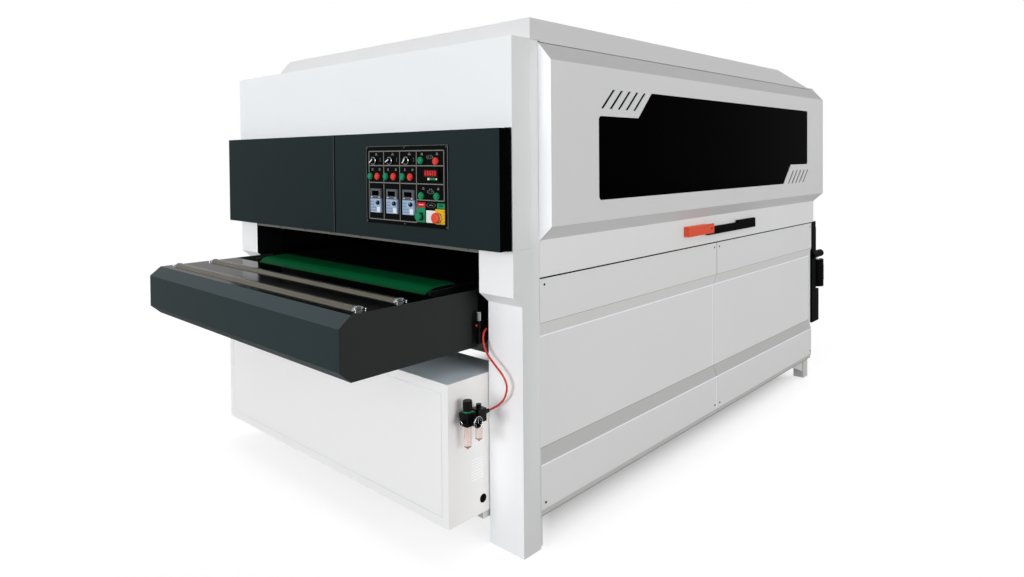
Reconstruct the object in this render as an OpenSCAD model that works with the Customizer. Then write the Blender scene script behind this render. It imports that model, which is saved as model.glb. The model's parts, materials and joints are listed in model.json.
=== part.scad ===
// Through-feed brush polishing machine for flat panels.
// Every module draws in bench coordinates: X across, Y back from the front of the posts, Z up.

/* [Machine] */
// Width over the front posts
body_w = 2120; // [2000:10:2300]
// Height to the top of the roof
body_h = 2050; // [2000:10:2200]
// Length from the front of the posts to the back of the side door
body_len = 3014; // [2900:2:3200]
// Reach of the infeed table in front of the posts
infeed_reach = 640; // [600:5:700]
// Reach of the outfeed table behind the side door
outfeed_reach = 346; // [300:2:500]
// Thickness of the sheet metal
sheet = 3; // [2:0.5:4]

/* [Posts] */
// Width of a front post
post_w = 180; // [150:5:200]
// Depth of a front post
post_d = 100; // [80:5:120]
// How far the upper part of a post stands forward
brow = 49; // [30:1:60]
// Height where the forward part of a post begins
brow_z = 999; // [960:1:1040]
// Height of the slope under the forward part
brow_drop = 41; // [20:1:60]
// Wall of the post tube
post_wall = 8; // [5:1:12]

/* [Feed bed] */
// Height of the infeed table deck
deck_z = 995; // [960:1:1000]
// Gap between the infeed table and a post
table_gap = 65; // [40:1:80]
// Depth of the table nose below its deck
table_h = 229; // [200:1:240]
// Distance from the side of the table to the conveyor belt
belt_margin = 142.5; // [140:0.5:200]
// Thickness of the conveyor belt
belt_t = 5; // [3:0.5:7]
// Height of the belt above the table deck
belt_rise = 10; // [6:1:14]
// Radius of the belt drums
drum_r = 79.7; // [70:0.1:80]
// Radius of an infeed roller
roller_r = 25; // [20:1:28]
// Distance from the side of the table to an infeed roller
roller_margin = 50; // [45:1:80]
// Radius of the drum and roller shaft ends
drum_shaft_r = 20; // [15:1:22]
// How far the bed rises
bed_up = 130; // [100:1:140]
// How far the bed sinks
bed_down = 30; // [0:1:40]
// Thickness of a bed side plate
bed_plate = 15; // [10:1:18]
// Radius of a lift screw
screw_r = 18; // [15:1:22]

/* [Brush heads] */
// Largest workpiece height, from the belt to the brushes at rest
work_gap = 155; // [150:1:165]
// Radius of a brush roller
brush_r = 150; // [120:5:160]
// How much shorter a brush roller is than the belt is wide
brush_short = 15; // [10:1:40]
// Distance between brush rollers
brush_pitch = 800; // [700:10:850]
// Radius of a brush shaft
brush_shaft_r = 25; // [20:1:30]
// Radius of a pressure roller
press_r = 45; // [35:1:50]
// Thickness of a head plate
head_plate = 25; // [20:1:30]
// Radius of a brush motor
motor_r = 105; // [90:5:115]
// Length of a brush motor
motor_len = 205; // [180:5:215]

/* [Side doors] */
// Depth of the bevelled bulge of a side door
bulge = 63; // [40:1:70]
// Height of the seam between door and lower panels
seam_z = 1055; // [1040:1:1070]
// Widest opening angle of the side door, in degrees
door_swing = 75; // [60:1:80]
// Depth of the recess in the lower panels
recess = 22; // [10:1:26]
// Height of the lower edge of the side panels
skirt_z = 118; // [100:1:130]
// Radius of the side door hinge pins
hinge_pin_r = 3; // [2.5:0.1:3.5]

/* [Control cabinet] */
// Height of the lower edge of the cabinet doors
cabinet_z = 1174; // [1160:1:1180]
// Height of the cabinet doors
cabinet_h = 455; // [440:1:480]
// How far the cabinet doors stand in front of the fascia
cabinet_out = 69; // [60:1:80]
// Width of the control plate
plate_w = 533; // [520:1:560]
// Height of the control plate
plate_h = 331; // [325:1:350]
// Radius of a push button
button_r = 12; // [9:0.5:13]
// Travel of a push button
button_travel = 4; // [3:0.5:5]

/* [Air unit] */
// Diameter of the air hose
hose_d = 8; // [6:0.5:10]
// Radius of an air unit bowl
bowl_r = 14; // [12:1:20]

/* [Hidden] */

$fn = 64;
cut = 1;            // overrun of a cut
seat = 0.3;         // gap between bolted pieces
slack = 0.05;       // radial clearance of a shaft in its bore
play = 3;           // gap round a door
nose_rear_y = body_len + outfeed_reach;
front_y = -(nose_rear_y - infeed_reach) / 2;    // where the post fronts lie in the machine's frame
half_w = body_w / 2;
post_in = half_w - post_w;                      // inner face of a post
table_w = 2 * (post_in - table_gap);
belt_w = table_w - 2 * belt_margin;
roller_len = table_w - 2 * roller_margin;
brush_len = belt_w - brush_short;

// Heights
roof_rise = 79;
deck_t = 4;             // roof deck sheet
fascia_top = body_h - roof_rise;
door_gap = 7;
door_top = fascia_top - door_gap;
rail_rise = 34;             // from the lower edge of the side panels to the rails
rail_z = skirt_z + rail_rise;
rail_h = 88;
rail_w = 100;
rail_top = rail_z + rail_h;
panel_inner = half_w - sheet - seat;        // where the frame meets the side sheets
belt_top = deck_z + belt_rise;
brush_bottom = belt_top + work_gap;
brush_z = brush_bottom + brush_r;
drum_z = belt_top - belt_t - drum_r - seat;

// Lengths
hood_overhang = 40;         // the side door reaches past the rear panel
panel_rear = body_len - hood_overhang;
panel_seam_share = 0.513;
drum_front_y = -85;
drum_rear_in = 165;
drum_rear_y = nose_rear_y - drum_rear_in;
post_rear_d = 80;
post_rear_y = panel_rear - post_rear_d;
beam_w = 70;
beam_h = 70;
beam_in = 40;
beam_out = half_w - beam_in;
beam_top = fascia_top - deck_t - seat;
frame_y = post_d + seat;

// Brush stations
first_brush_y = 620;
brush_ys = [for (i = [0:2]) first_brush_y + i * brush_pitch];
press_y = first_brush_y + brush_pitch / 2;
press_ys = [press_y];
plate_off = 72;             // from the belt's edge to a head plate
plate_x = belt_w / 2 + plate_off;
press_axis_z = brush_bottom + press_r;

module placed() translate([0, front_y, 0]) children();
module both() for (s = [0, 1]) mirror([s, 0, 0]) children();
// A box from its low corner to its high corner
module box(low, high) translate(low) cube(high - low);
// A rod along X, Y or Z from a point
module rod_x(at, r, len) translate(at) rotate([0, 90, 0]) cylinder(r = r, h = len);
module rod_y(at, r, len) translate(at) rotate([-90, 0, 0]) cylinder(r = r, h = len);
module rod_z(at, r, len) translate(at) cylinder(r = r, h = len);
// An outline in Y and Z, drawn along X
module along_x(x0, len) translate([x0, 0, 0]) rotate([90, 0, 90]) linear_extrude(len) children();
// An outline in X and Z, drawn along Y
module along_y(y0, len) translate([0, y0 + len, 0]) rotate([90, 0, 0]) linear_extrude(len) children();

// Base frame
cross_w = 100;
leg_w = 70;
leg_in = 14;
leg_out = half_w - leg_in;
leg_back = 101;
leg_y = panel_rear - leg_back;
foot_d = 25;
gusset_len = 291;
gusset_h = 109;
gusset_t = 10;
jack_in = 45;
jack_x = table_w / 2 - jack_in;
jack_shares = [0.1177, 0.8742];     // of the length to the rear panel
jack_ys = [for (s = jack_shares) s * panel_rear];
screw_play = 7;
screw_hole_r = screw_r + screw_play;
box_bar_in = 8;
box_bar_x = post_in - box_bar_in;
box_bar_w = 30;
box_bar_h = 30;
box_bar_y = -30;
box_floor = 133;
mid_cross_share = 0.5044;
mid_cross_y = mid_cross_share * panel_rear;
front_cross_y = 110;

module cross_member(y, z0) difference() {
    box([seat + rail_w - panel_inner, y, z0], [panel_inner - rail_w - seat, y + cross_w, rail_top]);
    for (jy = jack_ys) both()
        rod_z([jack_x, jy, z0 - cut], screw_hole_r, rail_h + 2 * cut);
}
module base_frame() placed() color("gainsboro") {
    both() box([panel_inner - rail_w, frame_y, rail_z], [panel_inner, panel_rear, rail_top]);
    for (jy = jack_ys) cross_member(jy - cross_w / 2, rail_z);
    cross_member(mid_cross_y, rail_z);
    cross_member(front_cross_y, box_floor);
    both() box([leg_out - leg_w, leg_y, 0], [leg_out, leg_y + leg_w, rail_z - seat]);
    both() box([leg_out - leg_w, frame_y, 0], [leg_out, post_d + foot_d, rail_z - seat]);
    both() along_x(leg_out - 2 * gusset_t, gusset_t) polygon([[leg_y - gusset_len, rail_z - seat],
        [leg_y - seat, rail_z - seat], [leg_y - seat, rail_z - gusset_h]]);
    both() box([box_bar_x - box_bar_w, box_bar_y, box_floor - box_bar_h],
        [box_bar_x, front_cross_y + cross_w, box_floor - seat]);
}

// Front posts
post_top = beam_top;
wrap = sheet + seat;        // room for the fascia sheet
fascia_back = 52;
module front_posts() placed() color("white") both() difference() {
    along_x(post_in, post_w) polygon([[0, 0], [post_d, 0], [post_d, post_top], [-brow, post_top],
        [-brow, brow_z], [0, brow_z - brow_drop]]);
    box([post_in + post_wall, post_wall, -cut],
        [half_w - post_wall - wrap, post_d - post_wall, post_top - post_wall]);
    box([post_in - cut, -brow - cut, cabinet_z - seat], [half_w + cut, wrap - brow, post_top + cut]);
    box([half_w - wrap, -brow - cut, cabinet_z - seat], [half_w + cut, fascia_back + seat, post_top + cut]);
}

// Upper frame
rear_post_w = 70;
sill_rise = 45;
sill_top = seam_z + sill_rise;
sill_h = 90;
top_cross_w = 80;
top_cross_shares = [0.0673, 0.3363, 0.6221, 0.9079];
top_cross_ys = [for (s = top_cross_shares) s * panel_rear];
module top_frame() placed() color("gainsboro") {
    both() box([beam_out - beam_w, frame_y, beam_top - beam_h], [beam_out, post_rear_y - seat, beam_top]);
    both() box([beam_out - beam_w, frame_y, sill_top - sill_h], [panel_inner, post_rear_y - seat, sill_top]);
    both() box([beam_out - rear_post_w, post_rear_y, rail_top + seat],
        [beam_out, post_rear_y + post_rear_d, beam_top]);
    for (y = top_cross_ys) box([beam_w - beam_out + seat, y, beam_top - beam_h],
        [beam_out - beam_w - seat, y + top_cross_w, beam_top]);
    both() head_plate_bored();
}
head_rise = 10;
head_low = brush_bottom + head_rise;
head_top = beam_top - beam_h - seat;
shaft_play = 10;
module head_plate_bored() difference() {
    box([plate_x, top_cross_ys[0], head_low],
        [plate_x + head_plate, top_cross_ys[3] + top_cross_w, head_top]);
    for (y = brush_ys) rod_x([plate_x - cut, y, brush_z], brush_shaft_r + shaft_play, head_plate + 2 * cut);
}

// Bearings, brush rollers and their motors
bearing_w = 140;
bearing_d = 50;
bearing_x = plate_x + head_plate + seat;
motor_x = bearing_x + bearing_d + seat;
shaft_in_motor = 40;
shaft_past = 20;
hub_r = 80;
hub_len = 15;
press_block_w = 70;
press_block_d = 35;
press_block_x = plate_x - seat - press_block_d;
press_shaft_r = 12.5;
press_block_low = 40;
press_block_up = 60;
press_past = 15;
press_len = brush_len + 2 * press_past;
module bearing(y) difference() {
    box([bearing_x, y - bearing_w / 2, brush_z - bearing_w / 2],
        [bearing_x + bearing_d, y + bearing_w / 2, brush_z + bearing_w / 2]);
    rod_x([bearing_x - cut, y, brush_z], brush_shaft_r + slack, bearing_d + 2 * cut);
}
module press_block(y) difference() {
    box([press_block_x, y - press_block_w / 2, press_axis_z - press_block_low],
        [plate_x - seat, y + press_block_w / 2, press_axis_z + press_block_up]);
    rod_x([press_block_x - cut, y, press_axis_z], press_shaft_r + slack, press_block_d + 2 * cut);
}
module head_bearings() placed() color("dimgray") both() {
    for (y = brush_ys) bearing(y);
    for (y = press_ys) press_block(y);
}
module brush_roller(i) placed() color("peru") translate([0, brush_ys[i], brush_z]) {
    rod_x([-brush_len / 2, 0, 0], brush_r, brush_len);
    both() rod_x([brush_len / 2 - cut, 0, 0], hub_r, hub_len + cut);
    rod_x([-motor_x - shaft_in_motor, 0, 0], brush_shaft_r,
        2 * motor_x - seat + shaft_in_motor + shaft_past);
}
terminal_w = 90;
terminal_h = 45;
terminal_shares = [0.75, 0.25];
module brush_motors() placed() color("steelblue") for (y = brush_ys) difference() {
    union() {
        rod_x([-motor_x - motor_len, y, brush_z], motor_r, motor_len);
        box([-motor_x - motor_len * terminal_shares[0], y - terminal_w / 2, brush_z],
            [-motor_x - motor_len * terminal_shares[1], y + terminal_w / 2, brush_z + motor_r + terminal_h]);
    }
    rod_x([-motor_x - shaft_in_motor - seat, y, brush_z], brush_shaft_r + slack,
        shaft_in_motor + seat + cut);
}
module pressure_roller() placed() color("darkslategray") translate([0, press_y, press_axis_z]) {
    rod_x([-press_len / 2, 0, 0], press_r, press_len);
    rod_x([seat - plate_x, 0, 0], press_shaft_r, 2 * (plate_x - seat));
}

// Lower front box with its inset cover plate
box_front = -215;
box_top = 678;
box_rear = front_cross_y - seat;
box_side_gap = 3;
box_half = post_in - box_side_gap;
cover_in = 36;
cover_gap = 2;
cover_lap = 12;
module base_box() placed() {
    color("whitesmoke") difference() {
        box([-box_half, box_front, box_floor], [box_half, box_rear, box_top]);
        box([sheet - box_half, box_front + sheet, box_floor + sheet],
            [box_half - sheet, box_rear + cut, box_top - sheet]);
        box([cover_in - box_half, box_front - cut, box_floor + cover_in],
            [box_half - cover_in, box_front + sheet + cut, box_top - cover_in]);
    }
    color("white") {
        box([cover_in - box_half + cover_gap, box_front + seat, box_floor + cover_in + cover_gap],
            [box_half - cover_in - cover_gap, box_front + 2 * sheet, box_top - cover_in - cover_gap]);
        box([cover_in - box_half - cover_lap, box_front + sheet + seat, box_floor + cover_in - cover_lap],
            [box_half - cover_in + cover_lap, box_front + 2 * sheet, box_top - cover_in + cover_lap]);
    }
}

// Fascia sheet with side returns, a top return and the lip below the cabinet
fascia_hole_side = 30;
fascia_hole_x = post_in - fascia_hole_side;
fascia_hole_in = 26;
lip_h = 22;
lip_d = 25;
module fascia() placed() color("white") {
    difference() {
        box([-half_w, -brow, cabinet_z], [half_w, fascia_back, fascia_top]);
        box([sheet - half_w, sheet - brow, cabinet_z - cut],
            [half_w - sheet, fascia_back + cut, fascia_top - sheet]);
        box([-fascia_hole_x, -brow - cut, cabinet_z + fascia_hole_in],
            [fascia_hole_x, sheet - brow + cut, cabinet_z + cabinet_h - fascia_hole_in]);
    }
    box([seat - post_in, sheet - brow, cabinet_z - lip_h],
        [post_in - seat, sheet - brow + lip_d, cabinet_z - seat]);
}

// Raised roof, flush at the front and right, sloped at the left and rear, over a flat deck
roof_front = fascia_back + seat;
hat_left = 683;
hat_slope_x = 160;
hat_rear = 2402;
hat_slope_y = 500;
roof_rim = 180;             // rim of the deck round the opening under the roof
module roof_hat(shrink) intersection() {
    along_y(roof_front + shrink, body_len) polygon([[-hat_left - hat_slope_x + shrink, fascia_top - cut],
        [-hat_left + shrink, body_h - shrink], [half_w - shrink, body_h - shrink],
        [half_w - shrink, fascia_top - cut]]);
    along_x(-half_w, body_w) polygon([[0, fascia_top - cut], [0, body_h - shrink],
        [hat_rear, body_h - shrink], [hat_rear + hat_slope_y - shrink, fascia_top - cut]]);
}
module roof_cover() placed() color("whitesmoke") difference() {
    union() {
        box([-half_w, roof_front, fascia_top - deck_t], [half_w, body_len - sheet, fascia_top]);
        roof_hat(0);
    }
    intersection() {
        roof_hat(sheet);
        box([-half_w, 0, fascia_top], [half_w, body_len, body_h]);
    }
    box([-hat_left, roof_front + roof_rim, fascia_top - deck_t - cut],
        [half_w - roof_rim, hat_rear, fascia_top + cut]);
}

// Electrical cabinet behind the fascia, with what is in it
shell_d = 210;
shell_y = sheet - brow + seat;
shell_in = 4;
shell_low = cabinet_z + shell_in;
shell_drop = 346;           // from the top of the fascia
shell_top = fascia_top - shell_drop;
shell_x = post_in - shell_in;
module cabinet_shell() placed() color("lightgray") difference() {
    box([-shell_x, shell_y, shell_low], [shell_x, shell_y + shell_d, shell_top]);
    box([sheet - shell_x, shell_y - cut, shell_low + sheet],
        [shell_x - sheet, shell_y + shell_d - sheet, shell_top - sheet]);
}
drive_w = 120;
drive_d = 110;
drive_pitch = 170;
contactor_w = 45;
contactor_d = 70;
contactor_pitch = 55;
part_back = shell_y + shell_d - sheet - seat;
component_shares = [-0.8, -0.1];    // where the two groups begin, of half the shell's width
row_shares = [0.15, 0.42, 0.58];    // heights of the rows, of the shell's height
shell_h = shell_top - shell_low;
drive_h_share = 0.447;
contactor_h_share = 0.179;
module cabinet_components() placed() color("dimgray") {
    for (i = [0:2]) translate([component_shares[0] * shell_x + i * drive_pitch, part_back - drive_d,
        shell_low + row_shares[1] * shell_h]) cube([drive_w, drive_d, drive_h_share * shell_h]);
    for (i = [0:7], k = [0, 2]) translate([component_shares[1] * shell_x + i * contactor_pitch,
        part_back - contactor_d, shell_low + row_shares[k] * shell_h])
        cube([contactor_w, contactor_d, contactor_h_share * shell_h]);
}

// Lower side panels, bent in twice and out again
panel_in = 1.5;
recess_shares = [0, 0.187, 0.251, 0.720, 0.779, 0.966, 1];  // from the upper edge down
lip_in = 10;
recess_steps = [0, 0, recess, recess, 0, 0, lip_in];
module panel_profile() {
    top = seam_z - panel_in;
    outer = [for (i = [0:6]) [half_w - recess_steps[i], top - (top - skirt_z) * recess_shares[i]]];
    inner = [for (i = [6:-1:0]) [half_w - recess_steps[i] - sheet, top - (top - skirt_z) * recess_shares[i]]];
    polygon(concat(outer, inner));
}
panel_seam_y = post_d + (panel_rear - post_d) * panel_seam_share;
module side_panels() placed() color("whitesmoke") both() {
    along_y(post_d + panel_in, panel_seam_y - post_d - 2 * panel_in) panel_profile();
    along_y(panel_seam_y + panel_in, panel_rear - panel_seam_y - panel_in) panel_profile();
}
screw_head_r = 5;
screw_head_t = 2;
screw_in = 28;
module panel_screws() placed() color("black") both() for (y = [post_d + screw_in, panel_seam_y - screw_in,
        panel_seam_y + screw_in, panel_rear - screw_in], z = [seam_z - screw_in, skirt_z + 2 * screw_in])
    rod_x([half_w + seat, y, z], screw_head_r, screw_head_t);

// Side door, and the fixed cover of the same shape on the drive side
bevel_top = 71;
strip_h = 145;
bevel_low_z = seam_z + strip_h;
bevel_low = 57;
door_front_gap = 1;
door_y = post_d + door_front_gap;
door_rear = body_len;
door_low = seam_z + panel_in;
door_high = door_top - play;
bend_share = 0.4;
bend = bend_share * sheet;          // how far a bend moves when the sheet's inside is drawn
module hood_outside() polygon([[half_w - sheet, door_low], [half_w, door_low], [half_w, bevel_low_z],
    [half_w + bulge, bevel_low_z + bevel_low], [half_w + bulge, door_high - bevel_top],
    [half_w, door_high], [half_w - sheet, door_high]]);
module hood_inside() polygon([[half_w - sheet - cut, bevel_low_z + bend],
    [half_w - sheet, bevel_low_z + bend],
    [half_w + bulge - sheet, bevel_low_z + bevel_low + bend],
    [half_w + bulge - sheet, door_high - bevel_top - bend],
    [half_w - sheet, door_high - bend - sheet], [half_w - sheet - cut, door_high - bend - sheet]]);
module hood_shell() difference() {
    along_y(door_y, door_rear - door_y) hood_outside();
    along_y(door_y + sheet, door_rear - door_y - 2 * sheet) hood_inside();
}
// Window outline: a parallelogram stepped at two corners, with rounded corners
flat_low = bevel_low_z + bevel_low;
flat_h = door_high - bevel_top - flat_low;
door_len = door_rear - door_y;
window_z_shares = [0.134, 0.318, 0.681, 0.863];    // low edge, rear step, front step, high edge
window_y_shares = [0.105, 0.207, 0.245, 0.767, 0.807, 0.903];
window_zs = [for (s = window_z_shares) flat_low + s * flat_h];
window_ys = [for (s = window_y_shares) door_y + s * door_len];
window_corner = 18;
module window_outline() offset(r = window_corner) offset(delta = -window_corner) polygon([
    [window_ys[0], window_zs[0]], [window_ys[0], window_zs[2]], [window_ys[1], window_zs[2]],
    [window_ys[2], window_zs[3]], [window_ys[5], window_zs[3]], [window_ys[5], window_zs[1]],
    [window_ys[4], window_zs[1]], [window_ys[3], window_zs[0]]]);
slot_w = 18;
slot_n = 5;
slot_pitch_share = 0.0206;          // of the door's length
slot_lean_share = 0.029;
slot_h_share = 0.128;               // of the flat's height
slot_y_shares = [0.111, 0.789];     // first front slot, first rear slot
slot_lift_share = 0.05;
module slot(y, z) polygon([[y, z], [y + slot_w, z],
    [y + slot_w + slot_lean_share * door_len, z + slot_h_share * flat_h],
    [y + slot_lean_share * door_len, z + slot_h_share * flat_h]]);
module door_slots() for (i = [0:slot_n - 1]) {
    front = slot_y_shares[0] + i * slot_pitch_share;
    rear = slot_y_shares[1] + i * slot_pitch_share;
    slot(door_y + front * door_len, window_zs[2] + slot_lift_share * flat_h);
    slot(door_y + rear * door_len, window_zs[0]);
}
hinge_in = 4;
hinge_x = half_w - hinge_in;
hinge_z = door_top - door_gap;
hinge_shares = [0.06, 0.35, 0.65, 0.94];
hinge_ys = [for (s = hinge_shares) door_y + (door_rear - door_y) * s];
knuckle_wall = 1;
knuckle_r = hinge_pin_r + knuckle_wall;
knuckle_len = 30;
module side_door_right() placed() color("whitesmoke") {
    difference() {
        union() {
            hood_shell();
            for (y = hinge_ys) {
                rod_y([hinge_x, y, hinge_z], knuckle_r, knuckle_len);
                box([hinge_x, y, hinge_z - 2 * knuckle_r], [half_w - cut, y + knuckle_len, hinge_z]);
            }
        }
        along_x(half_w + bulge - 3 * sheet, 4 * sheet) { window_outline(); door_slots(); }
        for (y = hinge_ys) rod_y([hinge_x, y - knuckle_len - cut, hinge_z],
            hinge_pin_r + slack, 2 * (knuckle_len + cut));
    }
}
pane_t = 5;
module door_window() placed() color("black") along_x(half_w + bulge - sheet - seat - pane_t, pane_t)
    translate([window_ys[0] - 2 * slot_w, window_zs[0] - slot_w]) square([window_ys[5] - window_ys[0]
        + 4 * slot_w, window_zs[3] - window_zs[0] + 2 * slot_w]);
module door_hinges() placed() color("silver") {
    for (y = hinge_ys) {
        rod_y([hinge_x, y - knuckle_len, hinge_z], hinge_pin_r, 2 * knuckle_len);
        box([beam_out + seat, y - knuckle_len, hinge_z - knuckle_r], [hinge_x, y - cut, hinge_z]);
    }
    both() for (top = [false, true]) cabinet_pivot(top);
}
louvre_n = 8;
louvre_h_share = 0.02;          // of the flat's height
louvre_pitch_share = 0.063;
louvre_low_share = 0.27;
louvre_half = 150;
module side_cover_left() mirror([1, 0, 0]) placed() color("whitesmoke") difference() {
    hood_shell();
    for (y = brush_ys, i = [0:louvre_n - 1]) {
        z = flat_low + (louvre_low_share + i * louvre_pitch_share) * flat_h;
        box([half_w + bulge - 2 * sheet, y - louvre_half, z],
            [half_w + bulge + cut, y + louvre_half, z + louvre_h_share * flat_h]);
    }
}

// Latch of the side door: a red body and a black lever that swings down
latch_y = 1216;
latch_len = 270;
latch_rise = 58;
latch_low = seam_z + latch_rise;
latch_h = 50;
latch_d = 30;
pivot_share = 0.9;
lever_pivot_y = latch_y + latch_len * pivot_share;
lever_pivot_z = latch_low + latch_h / 2;
lever_len = 562;
lever_h = 41;
lever_drop = 35;
lever_d = 16;
lever_root = 22;
lever_off = 4;              // clear of the screw heads it swings over
grip_len = 226;
grip_rise = 12;
lever_pin_r = 6;
lever_x = half_w + lever_off;
pocket_reach = 44;          // room for the root of the lever as it swings
module latch_body() placed() color("orangered") difference() {
    box([half_w + seat, latch_y, latch_low], [half_w + latch_d, latch_y + latch_len, latch_low + latch_h]);
    box([half_w, lever_pivot_y - pocket_reach, latch_low - cut],
        [lever_x + lever_d + seat, latch_y + latch_len + cut, latch_low + latch_h + cut]);
    rod_x([lever_x, lever_pivot_y, lever_pivot_z], lever_pin_r + slack, latch_d);
}
module latch_lever() placed() color("black") {
    low = lever_pivot_z - lever_drop;
    rod_x([lever_x, lever_pivot_y, lever_pivot_z], lever_pin_r, latch_d - lever_off);
    box([lever_x, lever_pivot_y - lever_root, low],
        [lever_x + lever_d, lever_pivot_y + lever_len, low + lever_h]);
    box([lever_x, lever_pivot_y + lever_len - grip_len, low + lever_h - cut],
        [lever_x + lever_d, lever_pivot_y + lever_len, low + lever_h + grip_rise]);
}

// Rear panel with the outfeed opening and two extraction spigots
rear_hole_play = 20;
rear_side_gap = 9;
rear_hole_x = table_w / 2 + rear_hole_play;
rear_hole_low = deck_z - table_h - bed_down - rear_hole_play;
rear_hole_top = belt_top + bed_up + rear_hole_play;
spigot_r = 75;
spigot_len = 60;
spigot_z_share = 0.64;      // between the outfeed opening and the roof, from below
spigot_x_share = 0.425;     // of the half width
spigot_z = rear_hole_top + spigot_z_share * (fascia_top - rear_hole_top) - spigot_r;
spigot_x = spigot_x_share * half_w;
module rear_panel() placed() color("whitesmoke") difference() {
    union() {
        box([rear_side_gap - half_w, panel_rear + seat, rail_z],
            [half_w - rear_side_gap, panel_rear + seat + sheet, fascia_top - deck_t - seat]);
        both() rod_y([spigot_x, panel_rear + sheet, spigot_z], spigot_r, spigot_len);
    }
    box([-rear_hole_x, panel_rear - cut, rear_hole_low],
        [rear_hole_x, panel_rear + 3 * sheet, rear_hole_top]);
    both() rod_y([spigot_x, panel_rear - cut, spigot_z], spigot_r - sheet, spigot_len + 4 * sheet);
}

// Feed bed
belt_play = 18;
bed_x = belt_w / 2 + belt_play;
bed_low = 780;
bed_front = -150;
bed_past = 90;
bed_rear = drum_rear_y + bed_past;
slider_top = belt_top - belt_t - seat;
slider_t = 4;
tube_w = 60;
tube_n = 5;
tube_first_y = 60;
tube_last_in = 395;
tube_pitch = (drum_rear_y - tube_last_in - tube_first_y) / (tube_n - 1);
tube_ys = [for (i = [0:tube_n - 1]) tube_first_y + i * tube_pitch];
tube_rise = 20;
tube_low = drum_z - drum_r + tube_rise;
side_in = table_w / 2 - sheet;      // inner face of the table's side covers
outrigger_w = 40;
outrigger_rise = 40;
outrigger_z = bed_low + outrigger_rise;
outrigger_ys = [-60, drum_rear_y - tube_w];
lift_pad = 30;
bed_top = slider_top - slider_t - seat;
module bed_frame() placed() color("darkslategray") {
    both() difference() {
        box([bed_x, bed_front, bed_low], [bed_x + bed_plate, bed_rear, bed_top]);
        for (y = [drum_front_y, drum_rear_y])
            rod_x([bed_x - cut, y, drum_z], drum_shaft_r + slack, bed_plate + 2 * cut);
    }
    for (y = tube_ys) box([seat - bed_x, y, tube_low], [bed_x - seat, y + tube_w, bed_top]);
    box([-bed_x, drum_front_y + drum_r, slider_top - slider_t], [bed_x, drum_rear_y - drum_r, slider_top]);
    both() for (y = outrigger_ys) box([bed_x + bed_plate + seat, y, outrigger_z],
        [side_in - seat, y + outrigger_w, outrigger_z + outrigger_w]);
    both() for (y = jack_ys) box([bed_x + bed_plate + seat, y - lift_pad, outrigger_z],
        [jack_x + lift_pad, y + lift_pad, outrigger_z + outrigger_w]);
}
module belt_ring() {
    r_in = drum_r + seat;
    difference() {
        union() {
            for (y = [drum_front_y, drum_rear_y]) translate([y, drum_z]) circle(r = r_in + belt_t);
            translate([drum_front_y, drum_z - r_in - belt_t])
                square([drum_rear_y - drum_front_y, 2 * (r_in + belt_t)]);
        }
        for (y = [drum_front_y, drum_rear_y]) translate([y, drum_z]) circle(r = r_in);
        translate([drum_front_y, drum_z - r_in]) square([drum_rear_y - drum_front_y, 2 * r_in]);
    }
}
module conveyor_belt() placed() color("darkgreen") along_x(-belt_w / 2, belt_w) belt_ring();
shaft_out = 15;
module drum(y) placed() color("silver") translate([0, y, drum_z]) {
    rod_x([-belt_w / 2, 0, 0], drum_r, belt_w);
    rod_x([-bed_x - bed_plate - shaft_out, 0, 0], drum_shaft_r, 2 * (bed_x + bed_plate + shaft_out));
}

// Feed tables: sheet noses with side covers and a slotted deck
nose_low = deck_z - table_h;
nose_front_h = 187;
nose_top_bevel = 39;
nose_front_low = deck_z - nose_front_h;
nose_front_top = deck_z - nose_top_bevel;
nose_bevel = 50;
nose_low_bevel = 47;
side_rear = 6;
deck_rear = -205;
roller_ys = [-522, -342];
roller_sink = 12;
roller_z = deck_z - roller_sink;
nose_return = 40;
slot_gap = 4;
module nose_outline(back) polygon([[back, nose_low], [back, deck_z], [nose_bevel - infeed_reach, deck_z],
    [-infeed_reach, nose_front_top], [-infeed_reach, nose_front_low],
    [nose_low_bevel - infeed_reach, nose_low]]);
nose_half = side_in - seat;
module nose_sheet(back) difference() {
    along_x(-nose_half, 2 * nose_half) nose_outline(back);
    along_x(-side_in, 2 * side_in) offset(delta = -sheet) nose_outline(back + 2 * sheet);
    box([-side_in, nose_low_bevel - infeed_reach + nose_return, nose_low - cut],
        [side_in, back + cut, nose_low + 2 * sheet]);
}
module infeed_table() {
    both() along_x(side_in, sheet) nose_outline(side_rear);
    difference() {
        nose_sheet(deck_rear);
        for (y = roller_ys) box([-roller_len / 2 - slot_gap, y - roller_r - slot_gap, deck_z - 2 * sheet],
            [roller_len / 2 + slot_gap, y + roller_r + slot_gap, deck_z + cut]);
    }
}
out_gap = 10;
out_nose_y = drum_rear_y + drum_r + belt_t + out_gap;
out_overlap = 74;
out_side_y = body_len - hood_overhang - out_overlap;
shaft_hole_play = 12;
module turned_back() translate([0, nose_rear_y - infeed_reach, 0]) mirror([0, 1, 0]) children();
module outfeed_table() {
    turned_back() nose_sheet(nose_rear_y - infeed_reach - out_nose_y);
    difference() {
        turned_back() both() along_x(side_in, sheet) nose_outline(nose_rear_y - infeed_reach - out_side_y);
        rod_x([-table_w / 2 - cut, drum_rear_y, drum_z], drum_shaft_r + shaft_hole_play, table_w + 2 * cut);
    }
}
module feed_tables() placed() color("darkslategray") {
    infeed_table();
    outfeed_table();
    both() for (y = roller_ys) roller_bracket(y);
}
bracket_t = 12;
bracket_gap = 6;
bracket_top = deck_z - sheet - seat;
bracket_h = 27;
roller_end_r = 6;
bracket_x = roller_len / 2 + bracket_gap;
module roller_bracket(y) difference() {
    box([bracket_x, y - roller_r, bracket_top - bracket_h],
        [bracket_x + bracket_t, y + roller_r, bracket_top]);
    rod_x([bracket_x - cut, y, roller_z], roller_end_r + slack, bracket_t + 2 * cut);
}
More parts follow.
